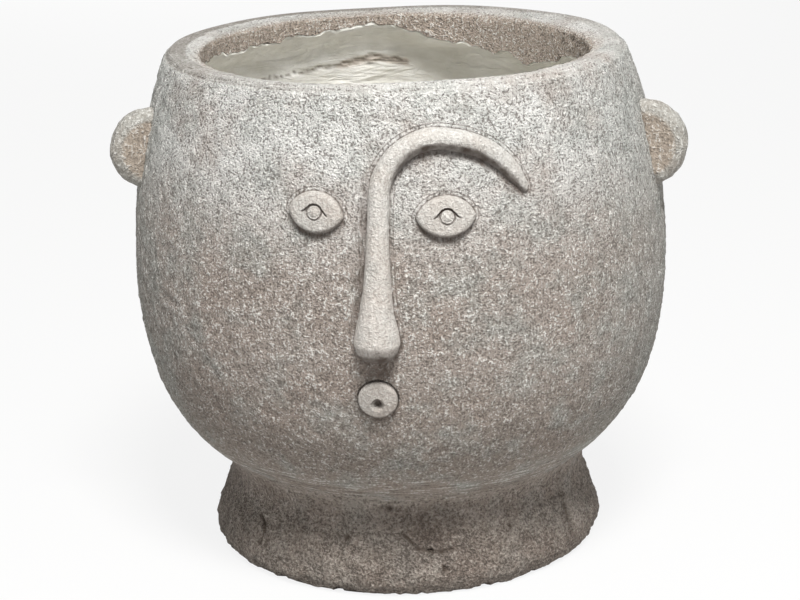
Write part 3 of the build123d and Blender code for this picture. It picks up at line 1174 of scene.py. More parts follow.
        # beside the nose, a brown margin and smoothing; under its tip, painted shadow with some brown
        # staining, and smoothing; under all the relief, painted shadow
        chin = np.hypot((runs + 0.5 * MM) / 8.5, (heights - 133 * MM) / 9.5) / MM
        beside = np.where(side < 0, ease(share, 0.06, 0.14) * fade(share, 0.42, 0.56), 0)
        stains = (
            0.7 * beside * fade(strip, 2.0 * MM, 6.0 * MM),
            0.75 * fade(chin, 0.4, 1.3),
            0.9 * fade(relief_shadow_margin, -0.6 * MM, 1.3 * MM),
        )
        calms = (
            0.55 * beside * fade(strip, 3 * MM, 8 * MM),
            0.35 * fade(chin, 0.8, 1.4),
            0.2 * ease(np.abs(turns), 50, 72),
            0.5 * fade(margin, 1 * MM, 3 * MM),
        )
        low = 0.75 * fade(heights, 60 * MM, 84 * MM)
        # a little staining, and painted shade over the lip's flat top towards the back on the left
        dust_and_lip_shade = 0.06 + 0.5 * back
        cold = 0.5 * ease(np.abs(turns), 38, 76)
        # the painted shade on the lip's flat top also takes away some wash and cools it
        note(
            piece,
            raised=np.where(outer, raised, 0.5) * (1 - crumb) + 2.4 * crumb,
            near=np.clip(1 - margin / (8 * MM), 0, 1),
            stain=np.select(parts, [np.max(stains, axis=0), 0.1, dust_and_lip_shade], dust_and_lip_shade),
            raw=np.select(parts, [0.0, fade(heights, 264 * MM, 266.5 * MM), 0.3 * back]),
            cold=np.select(parts, [cold, 0.0, 0.9 * back]),
            brushed=np.select(parts, [low, 0.2, 0.45], low),
            calm=np.where(band, 0.0, np.max(calms, axis=0)),
        )
        return piece

    def lip(self, rows: np.ndarray) -> np.ndarray:
        """Makes the lip uneven: its inner edge wanders and its inner band hangs down raggedly.

        Args:
            rows: The vertices' places.

        Returns:
            Their new places.
        """
        turns, radii, heights = turn_of(rows), radii_of(rows), rows[:, 2]
        top, bottom, under = self.wall.height, self.bottom, self.under
        corner = self.wall.radius_at(top) - self.outer_round
        flat = (heights > top - self.inner_round - TINY) & (radii < corner)
        face = (heights >= bottom - TINY) & (radii < self.opening + TINY)
        slope = (heights < bottom - TINY) & (heights >= under - TINY) & (radii < self.inside + TINY)
        wander = round_table(turns, INNER_EDGE) - self.opening
        hang = band_edge(turns) - bottom
        widen = np.clip((corner - radii) / (corner - self.opening), 0, 1)
        rest = np.clip((heights - under) / (bottom - under), 0, 1)
        move = wander * np.select([slope, face, flat], [rest, 1.0, widen])
        dish = 1.1 * MM * ease(corner - radii, 2 * MM, 14 * MM)
        drop = np.clip((top - heights) / (top - bottom), 0, 1)
        lower = np.select([slope, flat | face], [hang * rest, hang * drop - dish * (1 - drop)])
        wave = 0.5 * MM * (np.sin(np.radians(turns * 3 + 40)) + np.sin(np.radians(turns * 7)) * 0.5)
        rim = top - 6 * MM
        lower += np.where(heights > rim, wave - 0.7 * MM, 0.0) * ease(heights, rim, top)
        return pushed(rows, move, lower)


@dataclass(frozen=True)
class Lining:
    """The pale seal coat inside, which runs up under the lip.

    Attributes:
        bowl: The bowl that it lines.
        bed: The gap behind it.
        thickness: The coat's thickness.
        fine_height: The height over which its faces are finer.
        crease_radius: The radius that its crease and its fold lie on.
        finish: Its coat.
    """

    bowl: Bowl
    bed: float = 0.25 * MM
    thickness: float = 2.5 * MM
    fine_height: float = 205 * MM
    crease_radius: float = 125 * MM
    finish: SealCoat = SealCoat()

    def build(self) -> Piece:
        """Models and dresses the lining.

        Returns:
            The finished piece.
        """
        wall, bowl = self.bowl.wall, self.bowl
        back = -wall.thickness - self.bed
        front = back - self.thickness
        x, z, radius = wall.haunch
        low = [z - (radius + offset) for offset in (front, back)]
        slope = bowl.slope((0.06, 0.2, 0.35, 0.5, 0.65, 0.8, 0.92), 4 * MM)
        top = bowl.under - 2 * MM
        outline = [(r, h + 1.0 * MM) for r, h in reversed(slope)] + [(r, h - 0.6 * MM) for r, h in slope]
        outline += wall.line(self.fine_height, top - 1 * MM, 1.5 * MM, front)[::-1]
        outline += wall.line(low[0] + 1 * MM, self.fine_height, 5 * MM, front)[-2::-1]
        outline += [(x, low[0])] + straight((x, low[0]), (bowl.drain, low[0]), 9)
        outline += [(bowl.drain, low[1]), (x, low[1])]
        outline += wall.line(low[1] + 1 * MM, top, 12 * MM, back)
        outline.append(outline[0])
        piece = turned("seal_coat", outline, 440)
        sculpt(piece, self.hung)
        rows = places(piece)
        turns, radii, heights = turn_of(rows), radii_of(rows), rows[:, 2]
        fronts = wall.radii_at(np.maximum(heights, low[0]), front)
        seen = (radii < fronts + 0.6 * MM) & (heights < top)
        weigh(piece, "trowel", seen & (radii > bowl.drain + 6 * MM))
        ripple = 0.6 * MM * np.sin(turns * 0.83) + 0.35 * MM * np.sin(turns * 1.7 + 1)
        crease = drawn(turns, heights + ripple, CREASE, self.crease_radius)
        fold = drawn(turns, heights - ripple, FOLD, self.crease_radius)
        crease = np.maximum(fade(crease, 0.2 * MM, 1.5 * MM), 0.8 * fade(fold, 0.2 * MM, 1.4 * MM)) * seen
        lens = drawn(turns, heights, CREASE[3:], self.crease_radius)
        lens += drawn(turns, heights, FOLD, self.crease_radius)
        roughen(piece, "trowel", Roughcast(34 * MM, 1.8 * MM), Roughcast(9 * MM, 0.9 * MM, 2, hard=True))
        sculpt(piece, lambda now: pushed(now, 1.3 * MM * crease))
        note(piece, crease=crease, fold=0.8 * fade(lens, 3.0 * MM, 6.0 * MM) * seen)
        return piece

    def hung(self, rows: np.ndarray) -> np.ndarray:
        """Lets the coat's upper part follow the lip's ragged underside.

        Args:
            rows: The vertices' places.

        Returns:
            Their new places.
        """
        bowl = self.bowl
        turns, radii, heights = turn_of(rows), radii_of(rows), rows[:, 2]
        share = np.clip((bowl.inside - radii) / (bowl.inside - bowl.opening), 0, 1)
        share = np.where(heights > bowl.under - 1.3 * MM, share, 0)
        wander = round_table(turns, INNER_EDGE) - bowl.opening
        return pushed(rows, wander * share, (band_edge(turns) - bowl.bottom) * share)


# Foot and neck

# Small marks in foot and cove: turn in degrees, height, radius and rise in millimetres.
MARKS = (
    (-0.8, 45.5, 1.7, -1.8), (-13.7, 28.9, 1.5, -1.8), (14.8, 14.7, 1.4, -1.6), (11.1, 23.2, 1.3, -1.5),
    (17.9, 20.8, 1.6, 1.1), (-36.0, 12.0, 1.4, -1.4), (-58.0, 22.0, 1.6, 1.0), (37.0, 29.0, 1.3, -1.4),
    (96.0, 18.0, 1.6, -1.6), (131.0, 27.0, 1.5, -1.5), (164.0, 13.0, 1.7, 1.0), (-152.0, 24.0, 1.5, -1.6),
    (-118.0, 15.0, 1.5, -1.5), (-96.0, 44.0, 1.6, -1.6), (-171.0, 46.0, 1.5, -1.4), (118.0, 45.0, 1.6, -1.6),
)
# Cracks in the foot: turn in degrees and height in millimetres.
CRACKS = (
    ((2.6, 33.4), (7.5, 24.1), (13.9, 22.5), (17.5, 23.3)),
    ((-47.0, 30.0), (-43.5, 23.0), (-44.5, 16.0)),
    ((104.0, 9.0), (108.0, 17.0), (116.0, 20.5)),
    ((-140.0, 31.0), (-133.0, 27.5), (-129.0, 20.0), (-130.5, 13.0)),
)


def bell(values: np.ndarray, middle: float, width: float) -> np.ndarray:
    """A bell curve, 1 at its middle."""
    return np.exp(-(((values - middle) / width) ** 2))


def flap_edge(turns: np.ndarray) -> np.ndarray:
    """A dark line along the edge of the flap of mortar on the head's left."""
    return 0.55 * bell(turns, 60.6, 0.8)


def battered(piece: Piece) -> tuple[np.ndarray, np.ndarray]:
    """Wears the outside of foot or cove: a slapped-on flap, pinholes, crumbs, cracks and chips.

    Args:
        piece: The mesh object.

    Returns:
        The vertices' new places, and how far each is raised by the small marks.
    """
    rows = places(piece)
    turns, radii, heights = turn_of(rows), radii_of(rows), rows[:, 2]
    rise = np.zeros(len(rows))
    for turn, height, size, lift in MARKS:
        away = np.hypot(apart(turns, turn) * radii, heights - height * MM)
        rise += lift * MM * fade(away, 0.45 * size * MM, 1.35 * size * MM)
    for line in CRACKS:
        rise -= 0.9 * MM * fade(drawn(turns, heights, line, 102 * MM), 0.3 * MM, 1.3 * MM)
    upward = ease(heights, 5 * MM, 20 * MM) * fade(heights, 40 * MM, 53 * MM)
    bulge = 1.9 * MM * bell(turns, 76, 15)
    flap = 1.3 * MM * ease(turns, 60.4, 61.8) * fade(turns, 63.0, 72.0)
    around = np.radians(turns)
    chip = np.sin(17 * around) + np.sin(41 * around + 1) + 0.8 * np.sin(89 * around + 2)
    chip = 1.9 * MM * ease(chip, 0.7, 2.2) * fade(heights, 1 * MM, 6 * MM)
    outer = radii > 93 * MM
    sculpt(piece, lambda now: pushed(now, np.where(outer, rise + (bulge + flap) * upward - chip, 0.0)))
    return places(piece), rise


@dataclass(frozen=True)
class Foot:
    """The flared foot ring: coarse brown cement, chipped along its lower edge.

    Attributes:
        top: Radius and height of its upper outer edge.
        reach: Its greatest radius.
        toe: The radius of the toe's rounding.
        toe_height: The height of the greatest radius.
        hollow: The radius of the hollow under it.
        bevel: The bevel round the hollow's lower edge.
        bore: Radius and height of the bore that takes the bowl's spigot.
        seat: Radius and height of the seat's outer edge.
    """

    top: Point = (96.09 * MM, 34.0 * MM)
    reach: float = 104.59 * MM
    toe: float = 10.0 * MM
    toe_height: float = 8.9 * MM
    hollow: float = 91.6 * MM
    bevel: float = 1.5 * MM
    bore: Point = (80.4 * MM, 30.0 * MM)
    seat: Point = (85.9 * MM, 38.0 * MM)

    def outline(self) -> Outline:
        """The section, from the toe up the outside, over the seat and down the hollow.

        Returns:
            The points.
        """
        centre = self.reach - self.toe
        base = centre + math.sqrt(self.toe**2 - self.toe_height**2)
        first = math.asin(-self.toe_height / self.toe)
        away = Vector((self.top[0] - centre, self.top[1] - self.toe_height))
        last = math.atan2(away.y, away.x) - math.acos(self.toe / away.length)
        toe = arc(centre, self.toe_height, self.toe, np.linspace(first, last, 15))
        points = [(base, 0.0)] + toe[1:] + straight(toe[-1], self.top, 19)
        points += [self.seat, (self.bore[0], self.seat[1]), self.bore, (self.hollow, self.toe_height)]
        points += [(self.hollow, self.bevel), (self.hollow + self.bevel, 0.0)]
        points += [((base + self.hollow) / 2, 0.0), (base, 0.0)]
        return points

    def build(self) -> Piece:
        """Models and dresses the foot.

        Returns:
            The finished piece.
        """
        piece = turned("cement_foot", self.outline(), 260, 320)
        rows, marks = battered(piece)
        turns, radii, heights = turn_of(rows), radii_of(rows), rows[:, 2]
        weigh(piece, "coat", (radii > 95 * MM) & (heights > 0.4 * MM) & (heights < 33 * MM))
        lumps = ((13 * MM, 1.6 * MM, 2), (5.0 * MM, 1.8 * MM), (2.8 * MM, 1.3 * MM))
        rise = roughen(piece, "coat", *(Roughcast(*lump) for lump in lumps))
        # paler patches, one of them on the flap, painted light that makes the sides paler than the
        # front, and the dark one under the neck
        pale = 0.3 * fade(np.hypot((turns - 13) / 8, (heights - 13 * MM) / (4.5 * MM)), 0.6, 1.2)
        pale += 0.38 * fade(np.hypot((turns - 66) / 5, (heights - 26 * MM) / (16 * MM)), 0.6, 1.2)
        pale += 0.12 * ease(np.abs(turns - 5), 20, 60)
        raised = 0.5 + (rise + 1.6 * np.maximum(marks, 0)) / (1.6 * MM) + pale
        patch = fade(np.hypot((turns - 9) / 11, (heights - 37 * MM) / (11 * MM)), 0.5, 1.2)
        flap = flap_edge(turns) * ease(heights, 5 * MM, 16 * MM)
        stain = np.max([0.45 * patch, np.clip(-marks / (0.6 * MM), 0, 1), flap], axis=0)
        note(piece, raised=np.clip(raised, 0, 1.4), stain=stain)
        return piece


@dataclass(frozen=True)
class Neck:
    """The cove of mortar between bowl and foot, brushed round while wet.

    Attributes:
        low: Radius and height of its lower edge.
        throat: Radius and height of its narrowest place.
        high: Radius and height of its upper edge.
        inner: Radius and height of its inner corner.
        over: How far the points behind its upper edge stand from that.
        below: How far the points behind its lower edge stand from that.
    """

    low: Point = (96.09 * MM, 34.0 * MM)
    throat: Point = (94.89 * MM, 41.0 * MM)
    high: Point = (100.89 * MM, 54.0 * MM)
    inner: Point = (86.2 * MM, 38.5 * MM)
    over: tuple[Point, Point] = ((1.2 * MM, 1.6 * MM), (-1.5 * MM, 1.2 * MM))
    below: tuple[Point, Point] = ((-2.0 * MM, -0.6 * MM), (0.8 * MM, -1.8 * MM))

    def outline(self) -> Outline:
        """The section: an arc through three points, and the root behind it.

        Returns:
            The points.
        """
        spots = np.array([self.low, self.throat, self.high])
        squares = (spots**2).sum(axis=1)
        x, z = np.linalg.solve(2 * (spots[1:] - spots[0]), squares[1:] - squares[0])
        ends = [math.atan2(height - z, radius - x) % math.tau for radius, height in (self.low, self.high)]
        cove = arc(x, z, math.dist((x, z), self.low), np.linspace(*ends, 16))
        over = [(self.high[0] + out, self.high[1] + up) for out, up in self.over]
        below = [(self.low[0] + out, self.low[1] + up) for out, up in self.below]
        return cove + over + [self.inner] + below + [cove[0]]

    def build(self) -> Piece:
        """Models and dresses the neck.

        Returns:
            The finished piece.
        """
        piece = turned("mortar_cove", self.outline(), 200, 280)
        rows, marks = battered(piece)
        turns, heights = turn_of(rows), rows[:, 2]
        weigh(piece, "coat", radii_of(rows) > 93 * MM)
        rise = roughen(piece, "coat", Roughcast(13 * MM, 1.0 * MM, 2), Roughcast(4.0 * MM, 1.2 * MM))
        patch = 0.45 * bell(turns, 9, 12) * fade(heights, 44 * MM, 50 * MM)
        flap = flap_edge(turns) * fade(heights, 44 * MM, 52 * MM)
        note(
            piece,
            raised=np.clip(0.5 + rise / (1.1 * MM), 0, 1),
            brushed=0.55 * ease(heights, 42 * MM, 52 * MM),
            stain=np.max([patch, flap, np.clip(-marks / (0.8 * MM), 0, 1)], axis=0),
        )
        return piece


# The face


@dataclass(frozen=True)
class NoseAndBrow:
    """One roll of clay from the round tip of the nose over into the single brow.

    Attributes:
        wall: The wall it lies on.
        crook: Its line and its widths.
        root: How deep it is bedded.
        around: How many faces go round it.
        along: How many faces go along it.
        fullness: The power of its section's curve; 2 is an ellipse, and more is fuller.
    """

    wall: Wall
    crook: Crook
    root: float = 2.6 * MM
    around: int = 40
    along: int = 150
    fullness: float = 2.08

    def build(self) -> Piece:
        """Models and dresses the strip.

        Returns:
            The finished piece.
        """
        bpy.ops.mesh.primitive_cylinder_add(vertices=self.around, radius=1, depth=1, end_fill_type="NGON")
        piece = bpy.context.object
        piece.name = piece.data.name = "nose_and_brow_roll"
        ends = places(piece)[:, 2]
        lengthways = [e.index for e in piece.data.edges if ends[e.vertices[0]] * ends[e.vertices[1]] < 0]
        with editing(piece, "EDGE"):
            bpy.ops.mesh.select_all(action="DESELECT")
        for index in lengthways:
            piece.data.edges[index].select = True
        with editing(piece, "EDGE"):
            bpy.ops.mesh.subdivide(number_cuts=self.along)
        sculpt(piece, self.rolled)
        outward(piece)
        modified(piece, "SUBSURF", levels=1, render_levels=1)
        roughen(piece, "", Roughcast(13 * MM, 0.9 * MM))
        rise = roughen(piece, "", Roughcast(3.2 * MM, 0.35 * MM, 2))
        rows = places(piece)
        # painted shade: darker at its foot along the wall and on its downward faces, most under the brow
        low = fade(radii_of(rows) - self.wall.radii_at(rows[:, 2]), 0.4 * MM, 1.8 * MM)
        stain = np.maximum(0.8 * low, ease(undersides(piece), 0.05, 0.5))
        note(piece, raised=np.clip(0.5 + rise / (0.5 * MM), 0, 1), stain=stain)
        return piece

    def rolled(self, rows: np.ndarray) -> np.ndarray:
        """Wraps the straight tube along the crook on the wall.

        Args:
            rows: The vertices' places.

        Returns:
            Their new places.
        """
        around = np.arctan2(rows[:, 1], rows[:, 0])
        even = rows[:, 2] + 0.5
        # rings lie closer together towards both ends
        shares = 0.55 * even + 0.45 * (0.5 - 0.5 * np.cos(np.pi * even))
        line = self.crook.line(1200)
        last = len(line) - 1
        index = np.clip(shares * last, 0, last)
        run, height, ahead, up = (np.interp(index, np.arange(last + 1), column) for column in line.T)
        half = self.crook.width * self.crook.share_at(shares, 1) / 2
        proud = self.crook.proud * self.crook.share_at(shares, 2)
        cosine, sine = np.cos(around), np.sin(around)
        power = 2 / self.fullness
        across = half * np.sign(cosine) * np.abs(cosine) ** power
        outs = np.where(sine > 0, proud * np.abs(sine) ** power, -self.root * np.abs(sine))
        return self.wall.laid(run + across * up, height - across * ahead, outs)


@dataclass(frozen=True)
class Button:
    """A round piece of relief, turned as a disc and then pressed into its own outline.

    Attributes:
        name: The piece's name.
        wall: The wall it lies on.
        turn: The turn of its middle, in degrees.
        height: The height of its middle.
        proud: How far its middle stands out.
        crown: The radius of its dome.
        reach: The half width and half height of its outline.
        tilt: Degrees by which it is turned on the wall.
        pinch: How pointed the outline's left and right ends are, from 0 for an oval to 1.
        edge: The radius of its rounded edge.
        root: How deep it is bedded.
        spokes: How many faces go round it.
        busy: The radii between which its rings of faces lie closer.
        rings: The spacing of its rings of faces there, and towards the edge.
        light: How deep its hollows go before painted shade darkens them.
    """

    name: str
    wall: Wall
    turn: float
    height: float
    proud: float
    crown: float
    reach: Point
    tilt: float = 0.0
    pinch: float = 0.0
    edge: float = 1.6 * MM
    root: float = 2.4 * MM
    spokes: int = 128
    busy: Point = (0.0, 0.0)
    rings: Point = (0.13 * MM, 0.3 * MM)
    light: float = 0.0

    @property
    def frame(self) -> Matrix:
        """The frame on the wall that the piece lies in."""
        return self.wall.frame(self.turn, self.height, self.tilt)

    def hollow(self, rows: np.ndarray) -> np.ndarray:
        """How much deeper the front is at each place; the plain button has nothing cut in it."""
        return np.zeros(len(rows))

    def outline_at(self, angles: np.ndarray) -> np.ndarray:
        """The outline's distance from the middle at each angle.

        Args:
            angles: The angles in radians, from the right end.

        Returns:
            The distances.
        """
        wide, high = self.reach
        oval = wide * high / np.hypot(high * np.cos(angles), wide * np.sin(angles))
        radius = (wide**2 + high**2) / (2 * high)
        drop = radius - high
        root = np.sqrt(np.maximum(radius**2 - (drop * np.cos(angles)) ** 2, 0))
        return oval * (1 - self.pinch) + (root - drop * np.abs(np.sin(angles))) * self.pinch

    def margin(self, runs: np.ndarray, heights: np.ndarray) -> np.ndarray:
        """How far points on the unrolled wall are outside the outline.

        Args:
            runs: The points' runs.
            heights: Their heights.

        Returns:
            The distances, below 0 inside.
        """
        across = runs - math.radians(self.turn) * self.wall.radius_at(self.height)
        up = (heights - self.height) / math.cos(self.wall.lean_at(self.height))
        angles = np.arctan2(up, across) - math.radians(self.tilt)
        return np.hypot(across, up) - self.outline_at(angles)

    def build(self) -> Piece:
        """Models the piece.

        Returns:
            The finished piece.
        """
        unit, (first, last), (close, wide) = max(self.reach), self.busy, self.rings
        counts = round((last - first) / close) + 1, round((unit - last) / wide) + 1
        radii = [*np.linspace(0, first, 4), *np.linspace(first, last, counts[0])]
        radii += [*np.linspace(last, unit, counts[1])]
        front = [(float(r), 1.0) for r in np.unique(np.round(radii, 7))]
        back = [(unit, 0.3), (unit, -0.4), (unit * 0.97, -1.0), (unit * 0.5, -1.0), (0.0, -1.0)]
        piece = turned(self.name, front + back, self.spokes)
        sculpt(piece, self.pressed)
        rows = places(piece)
        cuts = np.where(rows[:, 2] > 0, self.hollow(rows[:, :2]), 0)
        # painted shade: darker where the piece meets the wall, on its downward faces and deep in its hollows
        low = fade(rows[:, 2], 0.3 * MM, 1.3 * MM)
        piece.data.transform(self.frame)
        piece.data.update()
        down = ease(undersides(piece), 0.2, 0.75)
        dark = np.clip((cuts - self.light) / (1.2 * MM), 0, 1)
        note(piece, stain=np.max([0.8 * low, 0.9 * down, dark], axis=0))
        return piece

    def pressed(self, rows: np.ndarray) -> np.ndarray:
        """Gives the flat disc its outline, its dome, its rounded edge and its hollows.

        Args:
            rows: The vertices' places.

        Returns:
            Their new places.
        """
        flat = radii_of(rows)
        share = flat / max(self.reach)
        angles = np.arctan2(rows[:, 1], rows[:, 0])
        outline = self.outline_at(angles)
        blend = ease(share, 0.25, 1.0)
        reach = flat * (1 - blend) + share * outline * blend
        x, y = reach * np.cos(angles), reach * np.sin(angles)
        dome = self.proud - self.crown + np.sqrt(self.crown**2 - np.minimum(reach, self.crown) ** 2)
        inward = np.clip(outline - reach, 0, self.edge)
        rounding = self.edge - np.sqrt(np.maximum(self.edge**2 - (self.edge - inward) ** 2, 0))
        front = dome - rounding - self.hollow(np.column_stack([x, y]))
        # the turned disc's heights only say which row is meant: front, side or back
        level = rows[:, 2]
        parts = [level > 0.9, level > 0, level < -0.9]
        z = np.select(parts, [front, (dome - self.edge) * 0.5, -self.root], -0.3 * self.root)
        return np.column_stack([x, y, z])


@dataclass(frozen=True)
class Eye(Button):
    """A pillowed lens with a lid line over the bead that runs out into a slit on either side.

    Attributes:
        ring: The radius of the line round the bead.
        line: The width and the depth of a drawn line.
        lid: Points of one half of the lid line, outwards from the middle: run and rise.
        taper: The run over which the lid line thins out.
    """

    ring: float = 3.6 * MM
    line: Point = (1.0 * MM, 1.25 * MM)
    lid: tuple[Point, ...] = (
        (0.0, 3.75 * MM), (1.5 * MM, 3.45 * MM), (2.8 * MM, 2.6 * MM),
        (3.9 * MM, 1.3 * MM), (5.1 * MM, 0.1 * MM), (6.8 * MM, -1.0 * MM),
    )
    taper: float = 2.2 * MM

    def hollow(self, rows: np.ndarray) -> np.ndarray:
        """The depth of the drawn lines at each place.

        Args:
            rows: Places on the piece's own front: across and up.

        Returns:
            The depths.
        """
        width, depth = self.line
        ring = fade(np.abs(radii_of(rows) - self.ring), width * 0.2, width * 0.6)
        ring *= 0.6 + 0.4 * ease(rows[:, 1], -2 * MM, 2 * MM)
        table = np.array(self.lid)
        along = np.abs(rows[:, 0])
        slope = np.gradient(table[:, 1], table[:, 0])
        away = np.abs(rows[:, 1] - np.interp(along, table[:, 0], table[:, 1]))
        away = away / np.hypot(1, np.interp(along, table[:, 0], slope))
        thin = np.clip((table[-1, 0] - along) / self.taper, 0, 1)
        lid = fade(away, width * 0.2, width * (0.25 + 0.4 * thin)) * np.sqrt(thin)
        return depth * np.maximum(ring, lid)


@dataclass(frozen=True)
class Mouth(Button):
    """A pillowed button with a dimple below its middle, narrower at its top.

    Attributes:
        dimple: The radius, the depth and how far it sits below the middle.
        groove: The radius and the depth of the bed cut for it, which stays open round it.
    """

    dimple: tuple[float, float, float] = (3.9 * MM, 3.3 * MM, 1.7 * MM)
    groove: Point = (10.2 * MM, 1.3 * MM)

    def hollow(self, rows: np.ndarray) -> np.ndarray:
        """The dimple's depth at each place.

        Args:
            rows: Places on the piece's own front: across and up.

        Returns:
            The depths.
        """
        radius, depth, drop = self.dimple
        up = rows[:, 1] + drop
        narrow = 1 - 0.4 * np.clip(up / radius, 0, 1)
        return depth * fade(np.hypot(rows[:, 0] / narrow, up), radius * 0.12, radius * 1.02)

    def cut_bed(self, bowl: Piece) -> None:
        """Cuts the bed that the button sits in out of the bowl's wall.

        Args:
            bowl: The bowl.
        """
        tall = 8 * MM
        radius, depth = self.groove
        bpy.ops.mesh.primitive_cylinder_add(vertices=96, radius=radius, depth=tall)
        tool = bpy.context.object
        tool.data.transform(self.frame @ Matrix.Translation((0, 0, tall / 2 - depth)))
        modified(bowl, "BOOLEAN", operation="DIFFERENCE", solver="MANIFOLD", object=tool)
        bpy.data.objects.remove(tool)


@dataclass(frozen=True)
class Ear:
    """A thick round disc of clay, set edge on against the side of the head.

    Attributes:
        name: The piece's name.
        wall: The wall it stands on.
        turn: Its turn in degrees.
        height: The height of its middle.
        radius: Its radius.
        thickness: Its thickness.
        rounding: The radius of its soft edge.
        inset: How far its middle stands in from the wall.
        root: How deep it is bedded.
    """

    name: str
    wall: Wall
    turn: float
    height: float
    radius: float
    thickness: float = 14.0 * MM
    rounding: float = 5.88 * MM
    inset: float = 3.5 * MM
    root: float = 3.0 * MM

    def build(self) -> Piece:
        """Models and dresses the ear.

        Returns:
            The finished piece.
        """
        half, flat = self.thickness / 2, self.radius - self.rounding
        front = [(0.0, half)] + straight((0.0, half), (flat, half), 18)
        front += arc(flat, half - self.rounding, self.rounding, np.radians(np.linspace(90, 0, 11)))[1:]
        piece = turned(self.name, front + [(r, -z) for r, z in reversed(front)], 140)
        around, lean = math.radians(self.turn), self.wall.lean_at(self.height)
        out = Vector((math.sin(around), -math.cos(around), 0))
        up = Vector((0, 0, 1))
        across = up.cross(out)
        foothold = out * self.wall.radius_at(self.height) + up * self.height
        middle = foothold - out * self.inset
        base = Matrix((out, up, out.cross(up))).transposed().to_4x4()
        piece.data.transform(Matrix.Translation(middle) @ base)
        normal = out * math.cos(lean) + up * math.sin(lean)
        spot = foothold - normal * self.root
        with editing(piece):
            bpy.ops.mesh.select_all(action="SELECT")
            bpy.ops.mesh.bisect(plane_co=spot, plane_no=normal, clear_inner=True, use_fill=True)
        outward(piece)
        # the flat faces were never brushed with wash
        rows = places(piece) - np.array(middle)
        spread = np.hypot(rows @ np.array(out), rows[:, 2])
        thick = np.abs(rows @ np.array(across))
        note(piece, raw=fade(spread, flat - 1 * MM, flat + 1.5 * MM) * (thick > half - 2 * MM))
        roughen(piece, "", Roughcast(16 * MM, 1.6 * MM, 2))
        rise = roughen(piece, "", Roughcast(5.0 * MM, 1.6 * MM, 2))
        note(piece, raised=np.clip(0.5 + rise / (0.9 * MM), 0, 1))
        return piece


# The studio

WHITE = (1.0, 1.0, 1.0, 1.0)
# Square lamps: name, place, side, power in watts and colour.
LAMPS = (
    ("key", (0.2, -0.85, 1.5), 0.45, 42.0, "fffefc"),
    ("fill", (1.6, -0.9, 0.55), 1.2, 5.0, "ffffff"),
    ("left fill", (-1.6, -0.6, 0.4), 1.2, 2.6, "ffffff"),
    ("back fill", (-0.3, 1.9, 0.6), 1.2, 7.0, "ffffff"),
)


@dataclass(frozen=True)
class Studio:
    """A plain pale floor, soft light and the camera at the photograph's angle.

    Attributes:
        azimuth: How far the camera stands round to the head's left, in degrees.
        distance: How far it stands from the pot's axis.
        height: How high it stands.
        slide: How far it stands to its own right.
        pitch: How far it looks down, in degrees.
        roll: How far it is rolled, in degrees.
        focal_share: Its focal length as a share of the picture's width.
        aim_height: The height that the lamps look at.
        floor_size: The floor's side.
        floor_share: The share of the floor that simply shows white to the camera.
        room: The strength of the surroundings as light, and as they are seen.
    """

    azimuth: float = 4.9
    distance: float = 1.1026
    height: float = 0.4635
    slide: float = -1.13 * MM
    pitch: float = 16.998
    roll: float = 1.591
    focal_share: float = 2146.7 / 800
    aim_height: float = 0.16
    floor_size: float = 40.0
    floor_share: float = 0.86
    room: Point = (0.28, 1.0)

    def camera(self) -> None:
        """Sets up the camera."""
        round_z = Matrix.Rotation(math.radians(self.azimuth), 4, "Z")
        spot = round_z @ Vector((self.slide, -self.distance, self.height))
        aim = round_z @ Matrix.Rotation(math.radians(90 - self.pitch), 4, "X")
        aim = aim @ Matrix.Rotation(math.radians(-self.roll), 4, "Z")
        bpy.ops.object.camera_add()
        camera = bpy.context.object
        camera.name = "camera"
        camera.matrix_world = Matrix.Translation(spot) @ aim
        camera.data.sensor_fit = "HORIZONTAL"
        camera.data.lens = camera.data.sensor_width * self.focal_share
        bpy.context.scene.camera = camera

    def lamps(self) -> None:
        """Hangs the square lamps, which all look at the pot."""
        for name, spot, size, power, code in LAMPS:
            bpy.ops.object.light_add(type="AREA", location=spot)
            lamp = bpy.context.object
            lamp.name, lamp.data.size, lamp.data.energy = name, size, power
            lamp.data.color = linear(code)[:3]
            aim = Vector((0, 0, self.aim_height)) - Vector(spot)
            lamp.rotation_euler = aim.to_track_quat("-Z", "Y").to_euler()

    def backdrop(self) -> None:
        """Lays the pale floor and sets the pale surroundings.

        The floor shows pale to the camera and throws back less light than it shows, so that
        the pot's underside keeps its shade.
        """
        bpy.ops.mesh.primitive_plane_add(size=self.floor_size)
        floor = bpy.context.object
        floor.name = "floor"
        made = bpy.data.materials.new("pale floor")
        graph = Graph.fresh(made)
        shade = graph.add("BsdfDiffuse", {"Color": linear("cccccb")})
        white = graph.add("Emission", {"Color": WHITE, "Strength": 1.0})
        share = graph.add("Math", {0: self.seen(graph), 1: self.floor_share}, operation="MULTIPLY")
        graph.add("OutputMaterial", {"Surface": graph.add("MixShader", {0: share, 1: shade, 2: white})})
        floor.data.materials.append(made)
        world = bpy.data.worlds.new("pale room")
        bpy.context.scene.world = world
        graph = Graph.fresh(world)
        lit, shown = self.room
        strength = graph.add("MapRange", {0: self.seen(graph), 3: lit, 4: shown})
        light = graph.add("Background", {"Color": WHITE, "Strength": strength})
        graph.add("OutputWorld", {"Surface": light})

    def seen(self, graph: Graph) -> Socket:
        """A socket that is 1 for what is seen straight, mirrored or through glass.

        Args:
            graph: The graph of the floor or of the surroundings.

        Returns:
            The socket.
        """
        seen = graph.add("LightPath", {}, "Is Camera Ray")
        path = seen.node.outputs
        for name in ("Is Glossy Ray", "Is Transmission Ray"):
            seen = graph.add("Math", {0: seen, 1: path[name]}, operation="MAXIMUM")
        return seen

    def build(self) -> None:
        """Sets up the camera, the lamps, the floor and the surroundings."""
        self.camera()
        self.lamps()
        self.backdrop()
        bpy.context.scene.view_settings.view_transform = "Standard"


# The whole planter


